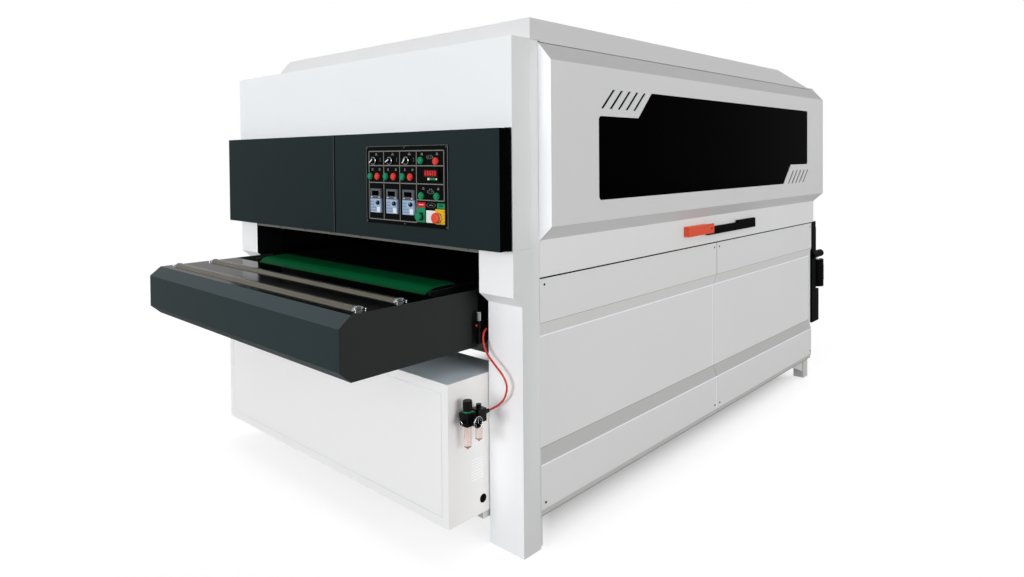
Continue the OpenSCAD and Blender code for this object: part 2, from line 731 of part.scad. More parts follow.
module infeed_roller(y) placed() color("silver") translate([0, y, roller_z]) {
    rod_x([-roller_len / 2, 0, 0], roller_r, roller_len);
    rod_x([-bracket_x - bracket_t, 0, 0], roller_end_r, 2 * (bracket_x + bracket_t));
}

// Belt drive on the right of the bed, behind the body
guard_off = 181;            // from the side of the table to the guard
guard_d = 45;
guard_x = table_w / 2 + guard_off;
guard_out = guard_x + guard_d;
guard_back = 83;            // from the drum's axis to the guard's front edge
guard_y = drum_rear_y - guard_back;
guard_drop = 590;
guard_rise = 125;
guard_low = drum_z - guard_drop;
guard_top = drum_z + guard_rise;
guard_w = 73;
guard_foot_w = 132;
guard_t = 20;
gear_w = 110;
gear_h = 150;
foot_drop = 362;
foot_top = drum_z - foot_drop;
vmotor_r = 55;
vmotor_off = 67;
vmotor_y = drum_rear_y + vmotor_off;
vmotor_drop = 348;
vmotor_low = drum_z - vmotor_drop;
vmotor_h = 193;
crank_drop = 110;
crank_z = drum_z - crank_drop;
crank_r = 25;
crank_len = 176;
gear_x = table_w / 2 + seat;
shaft_in_gear = 70;
module conveyor_gearmotor() placed() color("black") {
    difference() {
        box([gear_x, drum_rear_y - gear_w / 2, foot_top], [guard_x - seat, drum_rear_y + gear_w / 2,
            drum_z + gear_h / 2]);
        rod_x([gear_x - cut, drum_rear_y, drum_z], drum_shaft_r + slack, shaft_in_gear + 2 * cut);
    }
    box([guard_x, guard_y, guard_low], [guard_x + guard_t, guard_y + guard_w, guard_top]);
    box([guard_x, guard_y + guard_w + seat, guard_low],
        [guard_x + guard_t, guard_y + guard_foot_w, foot_top - seat]);
    rod_z([guard_out - vmotor_r, vmotor_y, vmotor_low], vmotor_r, vmotor_h);
    rod_y([guard_out - crank_r, guard_y - crank_r / 2, crank_z], crank_r, crank_len);
}
module drive_drum() placed() color("silver") translate([0, drum_rear_y, drum_z]) {
    rod_x([-belt_w / 2, 0, 0], drum_r, belt_w);
    rod_x([-bed_x - bed_plate - shaft_out, 0, 0], drum_shaft_r,
        bed_x + bed_plate + shaft_out + gear_x + shaft_in_gear);
}
screw_low = 150;
screw_top = outrigger_z - seat;
module lift_screws() placed() color("silver") both() for (y = jack_ys)
    rod_z([jack_x, y, screw_low], screw_r, screw_top - screw_low);
jack_w = 110;
jack_h = 90;
module lift_jacks() placed() color("dimgray") both() for (y = jack_ys) difference() {
    box([jack_x - jack_w / 2, y - jack_w / 2, rail_top + seat],
        [jack_x + jack_w / 2, y + jack_w / 2, rail_top + jack_h]);
    rod_z([jack_x, y, rail_top - cut], screw_r + slack, jack_h + 2 * cut);
}

// Cabinet doors: trays hung on pivots at their outer rear corners
tray_clear = 6;
tray_back = -brow - tray_clear;
tray_front = -brow - cabinet_out;
pivot_in = 10;
pivot_back = 8;
pivot_r = 4;
tray_gap = 2;
module cabinet_tray() difference() {
    box([tray_gap, tray_front, cabinet_z + play], [half_w, tray_back, cabinet_z + cabinet_h]);
    box([tray_gap + sheet, tray_front + sheet, cabinet_z + play + sheet],
        [half_w - sheet, tray_back + cut, cabinet_z + cabinet_h - sheet]);
    rod_z([half_w - pivot_in, tray_back - pivot_back, cabinet_z], pivot_r + slack, cabinet_h + play + cut);
}
pivot_plate = 2.4;
module cabinet_pivot(top) {
    px = half_w - pivot_in;
    py = tray_back - pivot_back;
    z = top ? cabinet_z + cabinet_h + seat : cabinet_z + seat;
    box([px - 2 * pivot_r, py - 2 * pivot_r, z], [px + 2 * pivot_r, -brow - seat, z + pivot_plate]);
    rod_z([px, py, top ? z - 2 * sheet : z], pivot_r, 2 * sheet + pivot_plate);
}
module cabinet_door_left() placed() color("darkslategray") mirror([1, 0, 0]) cabinet_tray();
module cabinet_door_right() placed() color("darkslategray") cabinet_tray();

// Control plate and what is on it; places are shares of the plate from its lower left corner
plate_left_share = 0.24;    // of the half width
plate_left = plate_left_share * half_w;
plate_rise = 68;
plate_low = cabinet_z + plate_rise;
plate_t = 3;
plate_back = tray_front - seat;
plate_face = plate_back - plate_t;
collar_t = 6;
collar_wall = 3;
stem_r = 8;
function on_plate(share) = [plate_left + plate_w * share[0], plate_face, plate_low + plate_h * share[1]];
selector_shares = [[0.111, 0.81], [0.323, 0.81], [0.531, 0.81]];
start_shares = [[0.062, 0.61], [0.266, 0.61], [0.478, 0.61]];
stop_shares = [[0.156, 0.61], [0.366, 0.61], [0.572, 0.61]];
feed_shares = [[0.696, 0.813], [0.870, 0.804]];
bed_shares = [[0.702, 0.384], [0.878, 0.384]];
main_share = [0.694, 0.133];
estop_share = [0.889, 0.13];
keypad_shares = [[0.146, 0.296], [0.356, 0.296], [0.560, 0.296]];
display_share = [0.826, 0.645];
dial_offset_shares = [0.30, -0.08];
button_shares = concat(start_shares, stop_shares, feed_shares, bed_shares);
module bore(share, r) translate(on_plate(share))
    rod_y([0, -collar_t - cut, 0], r + slack, collar_t + plate_t + 2 * cut);
selector_r = 12;
module control_plate() placed() color("black") {
    difference() {
        union() {
            box([plate_left, plate_face, plate_low], [plate_left + plate_w, plate_back, plate_low + plate_h]);
            for (p = concat(button_shares, selector_shares)) translate(on_plate(p))
                rod_y([0, -collar_t, 0], button_r + collar_wall, collar_t + cut);
            for (p = [main_share, estop_share]) translate(on_plate(p))
                rod_y([0, -collar_t, 0], stem_r + 2 * collar_wall, collar_t + cut);
        }
        for (p = button_shares) bore(p, button_r);
        for (p = selector_shares) bore(p, stem_r);
        for (p = [main_share, estop_share]) bore(p, stem_r);
    }
}
keypad_w = 71;
keypad_h = 102;
keypad_t = 10;
dial_r = 9;
dial_t = 8;
spindle_r = 3;
spindle_len = 6;
display_w = 96;
display_h = 48;
keypad_face = plate_face - seat - keypad_t;
function dial_at(i) = [on_plate(keypad_shares[i])[0] + dial_offset_shares[0] * keypad_w, keypad_face,
    on_plate(keypad_shares[i])[2] + dial_offset_shares[1] * keypad_h];
module panel_displays() placed() color("lightsteelblue") {
    for (i = [0:2]) difference() {
        translate(on_plate(keypad_shares[i]) - [keypad_w / 2, keypad_t + seat, keypad_h / 2])
            cube([keypad_w, keypad_t, keypad_h]);
        rod_y(dial_at(i) - [0, cut, 0], spindle_r + slack, spindle_len + 2 * cut);
    }
    translate(on_plate(display_share) - [display_w / 2, keypad_t + seat, display_h / 2])
        cube([display_w, keypad_t, display_h]);
}
module drive_dial(i) placed() color("black") translate(dial_at(i)) {
    rod_y([0, -seat - dial_t, 0], dial_r, dial_t);
    rod_y([0, -seat - cut, 0], spindle_r, spindle_len + seat + cut);
}
grip_w = 6;
grip_t = 8;
knob_t = 5;
grip_lean = -38;            // degrees
module selector_knob(i) placed() color("silver") translate(on_plate(selector_shares[i])) {
    rod_y([0, -collar_t - seat - knob_t, 0], selector_r, knob_t);
    rod_y([0, -collar_t - seat - cut, 0], stem_r, collar_t + plate_t + cut);
    rotate([0, grip_lean, 0]) box([-selector_r, -collar_t - seat - knob_t - grip_t, -grip_w / 2],
        [selector_r, -collar_t - seat - knob_t + cut, grip_w / 2]);
}
cap_out = 4;
module push_button(share, tint) placed() color(tint) translate(on_plate(share))
    rod_y([0, -collar_t - cap_out, 0], button_r, collar_t + cap_out + plate_t - button_travel - seat);
mushroom_t = 12;
module mushroom(share, r, tint) placed() color(tint) translate(on_plate(share)) {
    rod_y([0, -collar_t - button_travel - seat - mushroom_t, 0], r, mushroom_t);
    rod_y([0, -collar_t - button_travel - seat - cut, 0], stem_r, collar_t + plate_t + cut);
}
main_r = 16;
estop_r = 21;

// Air preparation unit on the lower box, and the valve on the right post
unit_x = box_half + seat;
unit_off = 48;
unit_mid = box_half + unit_off;
gauge_y = -142;
gauge_sink = 11;
ring_past = 1;
unit_half = 21;
unit_low = 526;
filter_ys = [-182, -137];
oiler_ys = [-123, -80];
filter_top = 576;
oiler_top = 575;
outlet_z = 551;
fitting_len = 22;
inlet_len = 12;
port_r = 9;
gauge_r = 18;
gauge_d = 18;
filter_mid = (filter_ys[0] + filter_ys[1]) / 2;
oiler_mid = (oiler_ys[0] + oiler_ys[1]) / 2;
ring_t = 5;
knob_r = 17;
knob_h = 38;
knob_stem = 8;
sight_r = 10;
sight_h = 16;
module air_unit() placed() color("black") {
    difference() {
        union() {
            box([unit_mid - unit_half, filter_ys[0], unit_low],
                [unit_mid + unit_half, filter_ys[1], filter_top]);
            box([unit_mid - unit_half, oiler_ys[0], unit_low],
                [unit_mid + unit_half, oiler_ys[1], oiler_top]);
            rod_y([unit_mid, filter_ys[1] - cut, outlet_z], port_r, oiler_ys[0] - filter_ys[1] + 2 * cut);
            rod_z([unit_mid, filter_mid, filter_top - cut], knob_r + ring_past, ring_t + cut);
            rod_z([unit_mid, oiler_mid, oiler_top - cut], sight_r, sight_h + cut);
            rod_y([unit_mid, oiler_ys[1] - cut, outlet_z], port_r, fitting_len + cut);
            rod_y([unit_mid, filter_ys[0] - inlet_len, outlet_z - port_r], port_r, inlet_len + cut);
            rod_x([unit_mid + unit_half - cut, gauge_y, outlet_z - gauge_sink], gauge_r, gauge_d + cut);
            box([unit_x, filter_mid, outlet_z - port_r],
                [unit_mid - unit_half + cut, oiler_mid, outlet_z + port_r]);
        }
        rod_z([unit_mid, filter_mid, filter_top - 2 * knob_stem], knob_stem + slack, 3 * knob_stem + ring_t);
    }
}
bowl_lens = [83, 70];
module air_bowls() placed() color("lightblue") {
    rod_z([unit_mid, filter_mid, unit_low - seat - bowl_lens[0]], bowl_r, bowl_lens[0]);
    rod_z([unit_mid, oiler_mid, unit_low - seat - bowl_lens[1]], bowl_r, bowl_lens[1]);
}
module regulator_knob() placed() color("black") {
    rod_z([unit_mid, filter_mid, filter_top + ring_t + seat], knob_r, knob_h);
    rod_z([unit_mid, filter_mid, filter_top - knob_stem], knob_stem, 2 * knob_stem + ring_t);
}
valve_t = 20;
valve_in = 42;
valve_x = post_in - valve_in;
valve_front = 12;
valve_back = 45;
valve_low = 790;
valve_h = 90;
valve_step = 10;
valve_reach = 30;
spool_r = 10;
spool_h = 35;
valve_port_r = 7;
valve_port_t = 4;
valve_port_drop = 17;
port_in = 11;
port_z = 848;
hose_end = [post_in - port_in, 0, port_z];
module air_valve() placed() color("black") {
    box([valve_x, valve_front, valve_low + valve_step], [post_in - seat, valve_back, valve_low + valve_h]);
    box([valve_x, -valve_reach, valve_low], [valve_x + valve_t, valve_front + cut, valve_low + valve_h]);
    rod_y(hose_end, port_r, valve_front + cut);
    rod_y([valve_x + valve_t / 2, -valve_reach - valve_port_t, valve_low + valve_h - valve_port_drop],
        valve_port_r, valve_port_t + cut);
    rod_z([valve_x + valve_t / 2, valve_t / 2 - valve_reach, valve_low + valve_h - cut],
        spool_r, spool_h + cut);
}
// Route of the air hose from the unit's outlet to the valve, X from the inner face of the right post
hose_route = [[45, -58, 551], [47, -47, 552], [51, -38, 555], [60, -31, 561], [72, -27, 569],
    [85, -26, 580], [98, -27, 592], [110, -29, 606], [119, -31, 621], [126, -33, 638],
    [129, -34, 656], [125, -35, 674], [115, -36, 690], [101, -36, 704], [85, -36, 716],
    [68, -36, 729], [50, -35, 742], [33, -34, 755], [19, -33, 770], [9, -32, 787], [3, -31, 803],
    [-2, -28, 818], [-6, -21, 831], [-10, -11, 842], [-11, 0, 848]];
hose_sides = 10;
last = len(hose_route) - 1;
function unit(v) = v / norm(v);
function hose_dir(i) = i == 0 || i == last ? [0, 1, 0] : unit(hose_route[i + 1] - hose_route[i - 1]);
function hose_side(i) = i == 0 ? [1, 0, 0]
    : let (d = hose_dir(i), s = hose_side(i - 1)) unit(s - d * (s * d));
hose_points = [for (i = [0:last]) let (s = hose_side(i), u = cross(hose_dir(i), s))
    for (k = [0:hose_sides - 1]) let (a = 360 * k / hose_sides)
        [post_in, 0, 0] + hose_route[i] + hose_d / 2 * (cos(a) * s + sin(a) * u)];
hose_faces = concat([[for (k = [0:hose_sides - 1]) k]],
    [for (i = [0:last - 1], k = [0:hose_sides - 1]) let (a = i * hose_sides + k,
        b = i * hose_sides + (k + 1) % hose_sides)
        each [[a, a + hose_sides, b], [b, a + hose_sides, b + hose_sides]]],
    [[for (k = [hose_sides - 1:-1:0]) last * hose_sides + k]]);
module air_hose() placed() color("red") polyhedron(hose_points, hose_faces);

base_frame();
front_posts();
top_frame();
base_box();
fascia();
roof_cover();
cabinet_shell();
cabinet_components();
side_panels();
side_cover_left();
rear_panel();
panel_screws();
bed_frame();
conveyor_belt();
feed_tables();
infeed_roller(roller_ys[0]);  // infeed_roller_front
infeed_roller(roller_ys[1]);  // infeed_roller_rear
drum(drum_front_y);  // idle_drum
drive_drum();
conveyor_gearmotor();
lift_screws();
lift_jacks();
brush_roller(0);  // brush_roller_1
brush_roller(1);  // brush_roller_2
brush_roller(2);  // brush_roller_3
head_bearings();
brush_motors();
pressure_roller();
side_door_right();
door_window();
door_hinges();
latch_body();
latch_lever();
cabinet_door_left();
cabinet_door_right();
control_plate();
panel_displays();
drive_dial(0);  // drive_dial_1
drive_dial(1);  // drive_dial_2
drive_dial(2);  // drive_dial_3
selector_knob(0);  // selector_knob_1
selector_knob(1);  // selector_knob_2
selector_knob(2);  // selector_knob_3
push_button(start_shares[0], "seagreen");  // start_button_1
push_button(start_shares[1], "seagreen");  // start_button_2
push_button(start_shares[2], "seagreen");  // start_button_3
push_button(stop_shares[0], "crimson");  // stop_button_1
push_button(stop_shares[1], "crimson");  // stop_button_2
push_button(stop_shares[2], "crimson");  // stop_button_3
push_button(feed_shares[0], "seagreen");  // feed_start_button
push_button(feed_shares[1], "crimson");  // feed_stop_button
push_button(bed_shares[0], "seagreen");  // bed_up_button
push_button(bed_shares[1], "seagreen");  // bed_down_button
mushroom(main_share, main_r, "seagreen");  // main_start_button
mushroom(estop_share, estop_r, "orangered");  // emergency_stop
air_unit();
air_bowls();
regulator_knob();
air_valve();
air_hose();
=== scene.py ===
import json
import math

import bmesh
import bpy
from mathutils import Matrix, Vector


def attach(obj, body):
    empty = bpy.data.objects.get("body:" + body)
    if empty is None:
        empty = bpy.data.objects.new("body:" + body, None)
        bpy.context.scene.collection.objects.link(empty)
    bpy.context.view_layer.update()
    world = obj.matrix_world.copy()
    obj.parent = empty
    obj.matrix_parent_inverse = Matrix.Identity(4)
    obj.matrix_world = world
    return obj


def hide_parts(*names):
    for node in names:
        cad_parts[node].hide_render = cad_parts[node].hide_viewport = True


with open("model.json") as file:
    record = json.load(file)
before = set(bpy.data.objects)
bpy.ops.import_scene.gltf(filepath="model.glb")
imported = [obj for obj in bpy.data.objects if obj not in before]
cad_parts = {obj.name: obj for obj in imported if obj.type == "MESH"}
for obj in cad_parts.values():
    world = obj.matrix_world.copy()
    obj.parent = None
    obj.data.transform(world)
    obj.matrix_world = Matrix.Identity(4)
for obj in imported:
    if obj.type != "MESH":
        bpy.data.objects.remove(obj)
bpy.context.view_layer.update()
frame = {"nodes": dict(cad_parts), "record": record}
scene = bpy.context.scene
nodes = frame["nodes"]
mm = 0.001
benchY = -1.360     # where the post fronts lie

print("stage: camera and light")
cameraView = {
    "place": (2.8045, -3.2976, 1.5260),
    "yaw": 42.755,      # degrees to the left of +Y
    "down": 1.167,
    "roll": -0.465,
    "lens": 24.555,
    "sensor": 36,
    "shiftY": -0.1154,
}
camera = bpy.data.objects.new("photoCamera", bpy.data.cameras.new("photoCamera"))
scene.collection.objects.link(camera)
camera.matrix_world = (
    Matrix.Translation(cameraView["place"])
    @ Matrix.Rotation(math.radians(cameraView["yaw"]), 4, "Z")
    @ Matrix.Rotation(math.radians(90 - cameraView["down"]), 4, "X")
    @ Matrix.Rotation(math.radians(cameraView["roll"]), 4, "Z")
)
camera.data.lens = cameraView["lens"]
camera.data.sensor_width = cameraView["sensor"]
camera.data.shift_y = cameraView["shiftY"]
scene.camera = camera
scene.view_settings.view_transform = "Standard"

studio = {
    "zenith": 0.32,         # light from straight above
    "horizon": 0.55,
    "skyFade": (0.25, 0.9),     # heights between which the one turns into the other
    "front": {"travel": (0.02, 1, -0.06), "spread": 28, "strength": 2.2},
    "side": {"travel": (-1, 0.04, -0.1), "spread": 35, "strength": 1.78},
    "back": {"travel": (0.9, -1, -0.15), "spread": 35, "strength": 1.3},
}


# a plain value is set on the socket, and another node's output is linked to it
def feed(tree, socket, value):
    if isinstance(value, bpy.types.NodeSocket):
        tree.links.new(value, socket)
    else:
        socket.default_value = value


# several sockets by name, where an underscore stands for a space
def feedAll(tree, sockets, **values):
    for title, value in values.items():
        feed(tree, sockets[title.replace("_", " ")], value)


# a shader node by the end of its type's name
def addNode(tree, kind, **inputs):
    node = tree.nodes.new("ShaderNode" + kind)
    feedAll(tree, node.inputs, **inputs)
    return node


def mathNode(tree, operation, *values, clamp=False):
    node = addNode(tree, "Math")
    node.operation = operation
    node.use_clamp = clamp
    for socket, value in zip(node.inputs, values):
        feed(tree, socket, value)
    return node.outputs[0]


# values by the number or name of their socket
def vectorNode(tree, operation, values):
    node = addNode(tree, "VectorMath")
    node.operation = operation
    for key, value in values.items():
        feed(tree, node.inputs[key], value)
    return node.outputs


# rises from 0 at low to 1 at high, eased at both ends
def softStep(tree, value, low, high):
    node = addNode(tree, "MapRange", Value=value, From_Min=low, From_Max=high)
    node.interpolation_type = "SMOOTHSTEP"
    return node.outputs[0]


def objectPlace(tree):
    return addNode(tree, "TexCoord").outputs["Object"]


def splitNode(tree, vector):
    return addNode(tree, "SeparateXYZ", Vector=vector).outputs


# how far a point lies from a level along one axis
def farFrom(tree, coordinate, level):
    return mathNode(tree, "ABSOLUTE", mathNode(tree, "SUBTRACT", coordinate, level))


def mixColor(tree, factor, first, second):
    node = addNode(tree, "Mix")
    node.data_type = "RGBA"
    for index, value in ((0, factor), (6, first), (7, second)):
        feed(tree, node.inputs[index], value)
    return node.outputs[2]


def mixShaders(tree, factor, first, second):
    node = addNode(tree, "MixShader")
    for socket, value in zip(node.inputs, (factor, first, second)):
        feed(tree, socket, value)
    return node.outputs[0]


def noiseNode(tree, vector, scale, detail=3.0, roughness=0.55):
    noise = addNode(tree, "TexNoise", Vector=vector, Scale=scale, Detail=detail, Roughness=roughness)
    return noise.outputs["Fac"]


def rampNode(tree, value, stops):
    ramp = addNode(tree, "ValToRGB", Fac=value)
    elements = ramp.color_ramp.elements
    for element, (position, color) in zip(list(elements), (stops[0], stops[-1])):
        element.position = position
        element.color = color
    for position, color in stops[1:-1]:
        elements.new(position).color = color
    return ramp.outputs["Color"]


def grey(value):
    return (value, value, value, 1)


def lightWorld():
    world = bpy.data.worlds.new("softStudio")
    scene.world = world
    world.use_nodes = True
    tree = world.node_tree
    tree.nodes.clear()
    seen = addNode(tree, "Background", Color=grey(1))
    height = splitNode(tree, addNode(tree, "TexCoord").outputs["Generated"])["Z"]
    horizon = grey(studio["horizon"])
    fadeFrom, fadeTo = studio["skyFade"]
    sky = rampNode(tree, height, [(0.0, horizon), (fadeFrom, horizon), (fadeTo, grey(studio["zenith"]))])
    lit = addNode(tree, "Background", Color=sky)
    rays = addNode(tree, "LightPath").outputs
    direct = mathNode(tree, "MAXIMUM", rays["Is Camera Ray"], rays["Is Transmission Ray"])
    addNode(tree, "OutputWorld", Surface=mixShaders(tree, direct, lit.outputs[0], seen.outputs[0]))


# a wide, even light like a wall of softboxes; spread in degrees
def farLight(name, travel, spread, strength):
    lamp = bpy.data.lights.new(name, "SUN")
    lamp.angle = math.radians(spread)
    lamp.energy = strength
    holder = bpy.data.objects.new(name, lamp)
    scene.collection.objects.link(holder)
    holder.rotation_euler = Vector(travel).to_track_quat("-Z", "Y").to_euler()


lightWorld()
for side in ("front", "side", "back"):
    farLight(side + "Softboxes", **studio[side])

print("stage: shader groups")


# a node group; each input has its default, and a tuple makes it a colour
def newGroup(name, inputs, outputs):
    group = bpy.data.node_groups.new(name, "ShaderNodeTree")
    for title, value in inputs.items():
        kind = "NodeSocketColor" if isinstance(value, tuple) else "NodeSocketFloat"
        group.interface.new_socket(title, in_out="INPUT", socket_type=kind).default_value = value
    kinds = {"Color": "NodeSocketColor", "Normal": "NodeSocketVector"}
    for title in outputs:
        group.interface.new_socket(title, in_out="OUTPUT", socket_type=kinds.get(title, "NodeSocketFloat"))
    given = group.nodes.new("NodeGroupInput").outputs
    results = group.nodes.new("NodeGroupOutput").inputs
    return group, given, results


# cloudy change of colour and gloss over a painted or moulded surface
def makeVariationGroup():
    group, given, results = newGroup("toneVariation", {
        "Color": grey(0.8), "Scale": 3.0, "Amount": 0.06, "Roughness": 0.4, "Roughness Change": 0.1,
    }, ("Color", "Roughness"))
    around = mathNode(group, "SUBTRACT", noiseNode(group, objectPlace(group), given["Scale"]), 0.5)
    level = mathNode(group, "ADD", mathNode(group, "MULTIPLY", around, given["Amount"]), 1.0)
    change = mathNode(group, "MULTIPLY", around, given["Roughness Change"])
    feedAll(group, results, Color=vectorNode(group, "SCALE", {0: given["Color"], "Scale": level})[0],
            Roughness=mathNode(group, "ADD", given["Roughness"], change, clamp=True))
    return group


# fine bump such as orange peel in paint or the grain of moulded plastic
def makeGrainGroup():
    group, given, results = newGroup("surfaceGrain", {
        "Scale": 400.0, "Depth": 0.0002, "Strength": 0.3,
    }, ("Normal",))
    height = noiseNode(group, objectPlace(group), given["Scale"], 2.0)
    bump = addNode(group, "Bump", Strength=given["Strength"], Distance=given["Depth"], Height=height)
    feed(group, results["Normal"], bump.outputs[0])
    return group


# paint rubbed through to a second colour along the edges
def makeWearGroup():
    wear = {"samples": 4, "spotScale": 60.0, "spotDetail": 4.0, "gain": 8.0}
    group, given, results = newGroup("edgeWear", {
        "Color": grey(0.8), "Worn Color": grey(0.5), "Radius": 0.002, "Amount": 0.3,
    }, ("Color", "Mask"))
    bevel = addNode(group, "Bevel", Radius=given["Radius"])
    bevel.samples = wear["samples"]
    trueNormal = addNode(group, "NewGeometry").outputs["Normal"]
    agree = vectorNode(group, "DOT_PRODUCT", {0: bevel.outputs[0], 1: trueNormal})["Value"]
    edge = mathNode(group, "SUBTRACT", 1.0, agree, clamp=True)
    spots = noiseNode(group, objectPlace(group), wear["spotScale"], wear["spotDetail"])
    lifted = mathNode(group, "MULTIPLY", mathNode(group, "MULTIPLY", edge, spots), wear["gain"], clamp=True)
    mask = mathNode(group, "MULTIPLY", lifted, given["Amount"], clamp=True)
    feedAll(group, results, Color=mixColor(group, mask, given["Color"], given["Worn Color"]), Mask=mask)
    return group


# a dusty film that fades out above the floor
def makeFloorDustGroup():
    dust = {"color": (0.6, 0.57, 0.52, 1), "scale": 9.0, "detail": 5.0}
    group, given, results = newGroup("floorDust", {
        "Color": grey(0.8), "Dust Color": dust["color"], "Height": 0.3, "Amount": 0.2,
    }, ("Color",))
    place = objectPlace(group)
    share = mathNode(group, "DIVIDE", splitNode(group, place)["Z"], given["Height"])
    fade = mathNode(group, "SUBTRACT", 1.0, share, clamp=True)
    film = mathNode(group, "MULTIPLY", fade, noiseNode(group, place, dust["scale"], dust["detail"]))
    mask = mathNode(group, "MULTIPLY", film, given["Amount"], clamp=True)
    feed(group, results["Color"], mixColor(group, mask, given["Color"], given["Dust Color"]))
    return group


# long fine scratches along X, as turned or drawn steel shows
def makeBrushedGroup():
    group, given, results = newGroup("brushedLines", {
        "Along": 4.0, "Across": 900.0, "Depth": 0.0001, "Low": 0.22, "High": 0.42,
    }, ("Roughness", "Normal"))
    across = given["Across"]
    scale = addNode(group, "CombineXYZ", X=given["Along"], Y=across, Z=across).outputs[0]
    stretched = vectorNode(group, "MULTIPLY", {0: objectPlace(group), 1: scale})[0]
    lines = noiseNode(group, stretched, 1.0, 2.0)
    spread = mathNode(group, "SUBTRACT", given["High"], given["Low"])
    gain = mathNode(group, "MULTIPLY", lines, spread)
    bump = addNode(group, "Bump", Strength=0.25, Distance=given["Depth"], Height=lines)
    feedAll(group, results, Roughness=mathNode(group, "ADD", gain, given["Low"]), Normal=bump.outputs[0])
    return group


groups = {"tone": makeVariationGroup(), "grain": makeGrainGroup(), "wear": makeWearGroup(),
          "dust": makeFloorDustGroup(), "brushed": makeBrushedGroup()}

print("stage: materials")
finishes = {}


# a colour read in 0 to 255, as Blender's linear colour
def linear(red, green, blue):
    def one(value):
        value = value / 255
        return value / 12.92 if value <= 0.04045 else ((value + 0.055) / 1.055) ** 2.4
    return (one(red), one(green), one(blue), 1)


def newMaterial(name, metallic=0.0, specular=0.5):
    material = bpy.data.materials.new(name)
    material.use_nodes = True
    tree = material.node_tree
    look = tree.nodes["Principled BSDF"].inputs
    feedAll(tree, look, Metallic=metallic, Specular_IOR_Level=specular)
    finishes[name] = material
    return tree, look


def placeGroup(tree, key, **values):
    node = tree.nodes.new("ShaderNodeGroup")
    node.node_tree = groups[key]
    feedAll(tree, node.inputs, **values)
    return node.outputs


# powder coat: cloudy tone, orange peel, light rubbing on edges, dust near the floor
def paint(name, color, roughness=0.42, tone=0.035, wear=0.12, worn=None, dust=0.0, specular=0.35, grain=0.25):
    tree, look = newMaterial(name, specular=specular)
    variation = placeGroup(tree, "tone", Color=linear(*color), Scale=2.2, Amount=tone, Roughness=roughness)
    last = placeGroup(tree, "wear", Color=variation["Color"],
                      Worn_Color=linear(*worn) if worn else grey(0.55),
                      Radius=0.0022, Amount=wear)
    if dust:
        last = placeGroup(tree, "dust", Color=last["Color"], Amount=dust)
    peel = placeGroup(tree, "grain", Scale=320.0, Depth=0.0002, Strength=grain)
    feedAll(tree, look, Base_Color=last["Color"], Roughness=variation["Roughness"], Normal=peel["Normal"])


# moulded parts: how rough, how strongly the grain shows, and how much they mirror
def plastic(name, color, roughness, grain, specular=0.5):
    tree, look = newMaterial(name, specular=specular)
    variation = placeGroup(tree, "tone", Color=linear(*color), Scale=30.0, Amount=0.08, Roughness=roughness)
    moulded = placeGroup(tree, "grain", Scale=900.0, Depth=0.0001, Strength=grain)
    feedAll(tree, look, Base_Color=variation["Color"], Roughness=variation["Roughness"],
            Normal=moulded["Normal"])


# bare metal: its lowest and highest roughness, and how fine its lines are along and across
def metal(name, color, low, high, along=4.0, across=900.0, tone=0.12):
    tree, look = newMaterial(name, metallic=1.0)
    variation = placeGroup(tree, "tone", Color=linear(*color), Scale=6.0, Amount=tone)
    lines = placeGroup(tree, "brushed", Along=along, Across=across, Low=low, High=high)
    feedAll(tree, look, Base_Color=variation["Color"], Roughness=lines["Roughness"], Normal=lines["Normal"])


belt = {
    "turn": 45,     # degrees, so that the grip stands on its corners
    "cells": {"Scale": 130.0, "Randomness": 0.15},
    "greens": ((0.1, (2, 112, 62)), (0.55, (0, 84, 46)), (0.8, (0, 50, 28))),
    "bump": {"Strength": 0.7, "Distance": 0.0012},
    "hiddenShadeColor": (3, 8, 6),
    # painted shade where the belt runs inside the closed body: its middle, and how far from it the painted
    # shade gives way to the green
    "dirt": {"middle": 0.147, "dark": 1.484, "light": 1.507},
}


# green PVC belt with a fine raised diamond grip, painted near black as shade inside the closed body
def beltWeave():
    tree, look = newMaterial("beltGripGreen", specular=0.06)
    place = objectPlace(tree)
    turned = addNode(tree, "Mapping", Vector=place, Rotation=(0, 0, math.radians(belt["turn"]))).outputs[0]
    cells = addNode(tree, "TexVoronoi", Vector=turned, **belt["cells"])
    cells.distance = "CHEBYCHEV"
    distance = cells.outputs["Distance"]
    green = rampNode(tree, distance, [(position, linear(*color)) for position, color in belt["greens"]])
    variation = placeGroup(tree, "tone", Color=green, Scale=7.0, Amount=0.3, Roughness=0.5)
    bump = addNode(tree, "Bump", Height=distance, **belt["bump"])
    bump.invert = True
    dirt = belt["dirt"]
    along = farFrom(tree, splitNode(tree, place)["Y"], dirt["middle"])
    unshaded = softStep(tree, along, dirt["dark"], dirt["light"])
    feedAll(tree, look, Base_Color=mixColor(tree, unshaded, linear(*belt["hiddenShadeColor"]), variation["Color"]),
            Roughness=variation["Roughness"], Normal=bump.outputs[0])


# packed abrasive brush fibres: short streaks over the roller
def bristles():
    fibre = {"scale": 220.0, "detail": 6.0, "roughness": 0.7, "dark": (14, 12, 10), "light": (52, 46, 38)}
    tree, look = newMaterial("brushFibre", specular=0.2)
    noise = noiseNode(tree, objectPlace(tree), fibre["scale"], fibre["detail"], fibre["roughness"])
    color = rampNode(tree, noise, [(0.3, linear(*fibre["dark"])), (0.7, linear(*fibre["light"]))])
    bump = addNode(tree, "Bump", Distance=0.004, Height=noise)
    feedAll(tree, look, Base_Color=color, Roughness=0.9, Normal=bump.outputs[0])


# clear polycarbonate, slightly blue, with a little haze
def clearBowl():
    tree, look = newMaterial("clearBowl")
    haze = placeGroup(tree, "tone", Color=linear(255, 238, 232), Scale=40.0, Amount=0.1, Roughness=0.12)
    feedAll(tree, look, Base_Color=haze["Color"], Roughness=haze["Roughness"],
            Transmission_Weight=0.9, IOR=1.45)


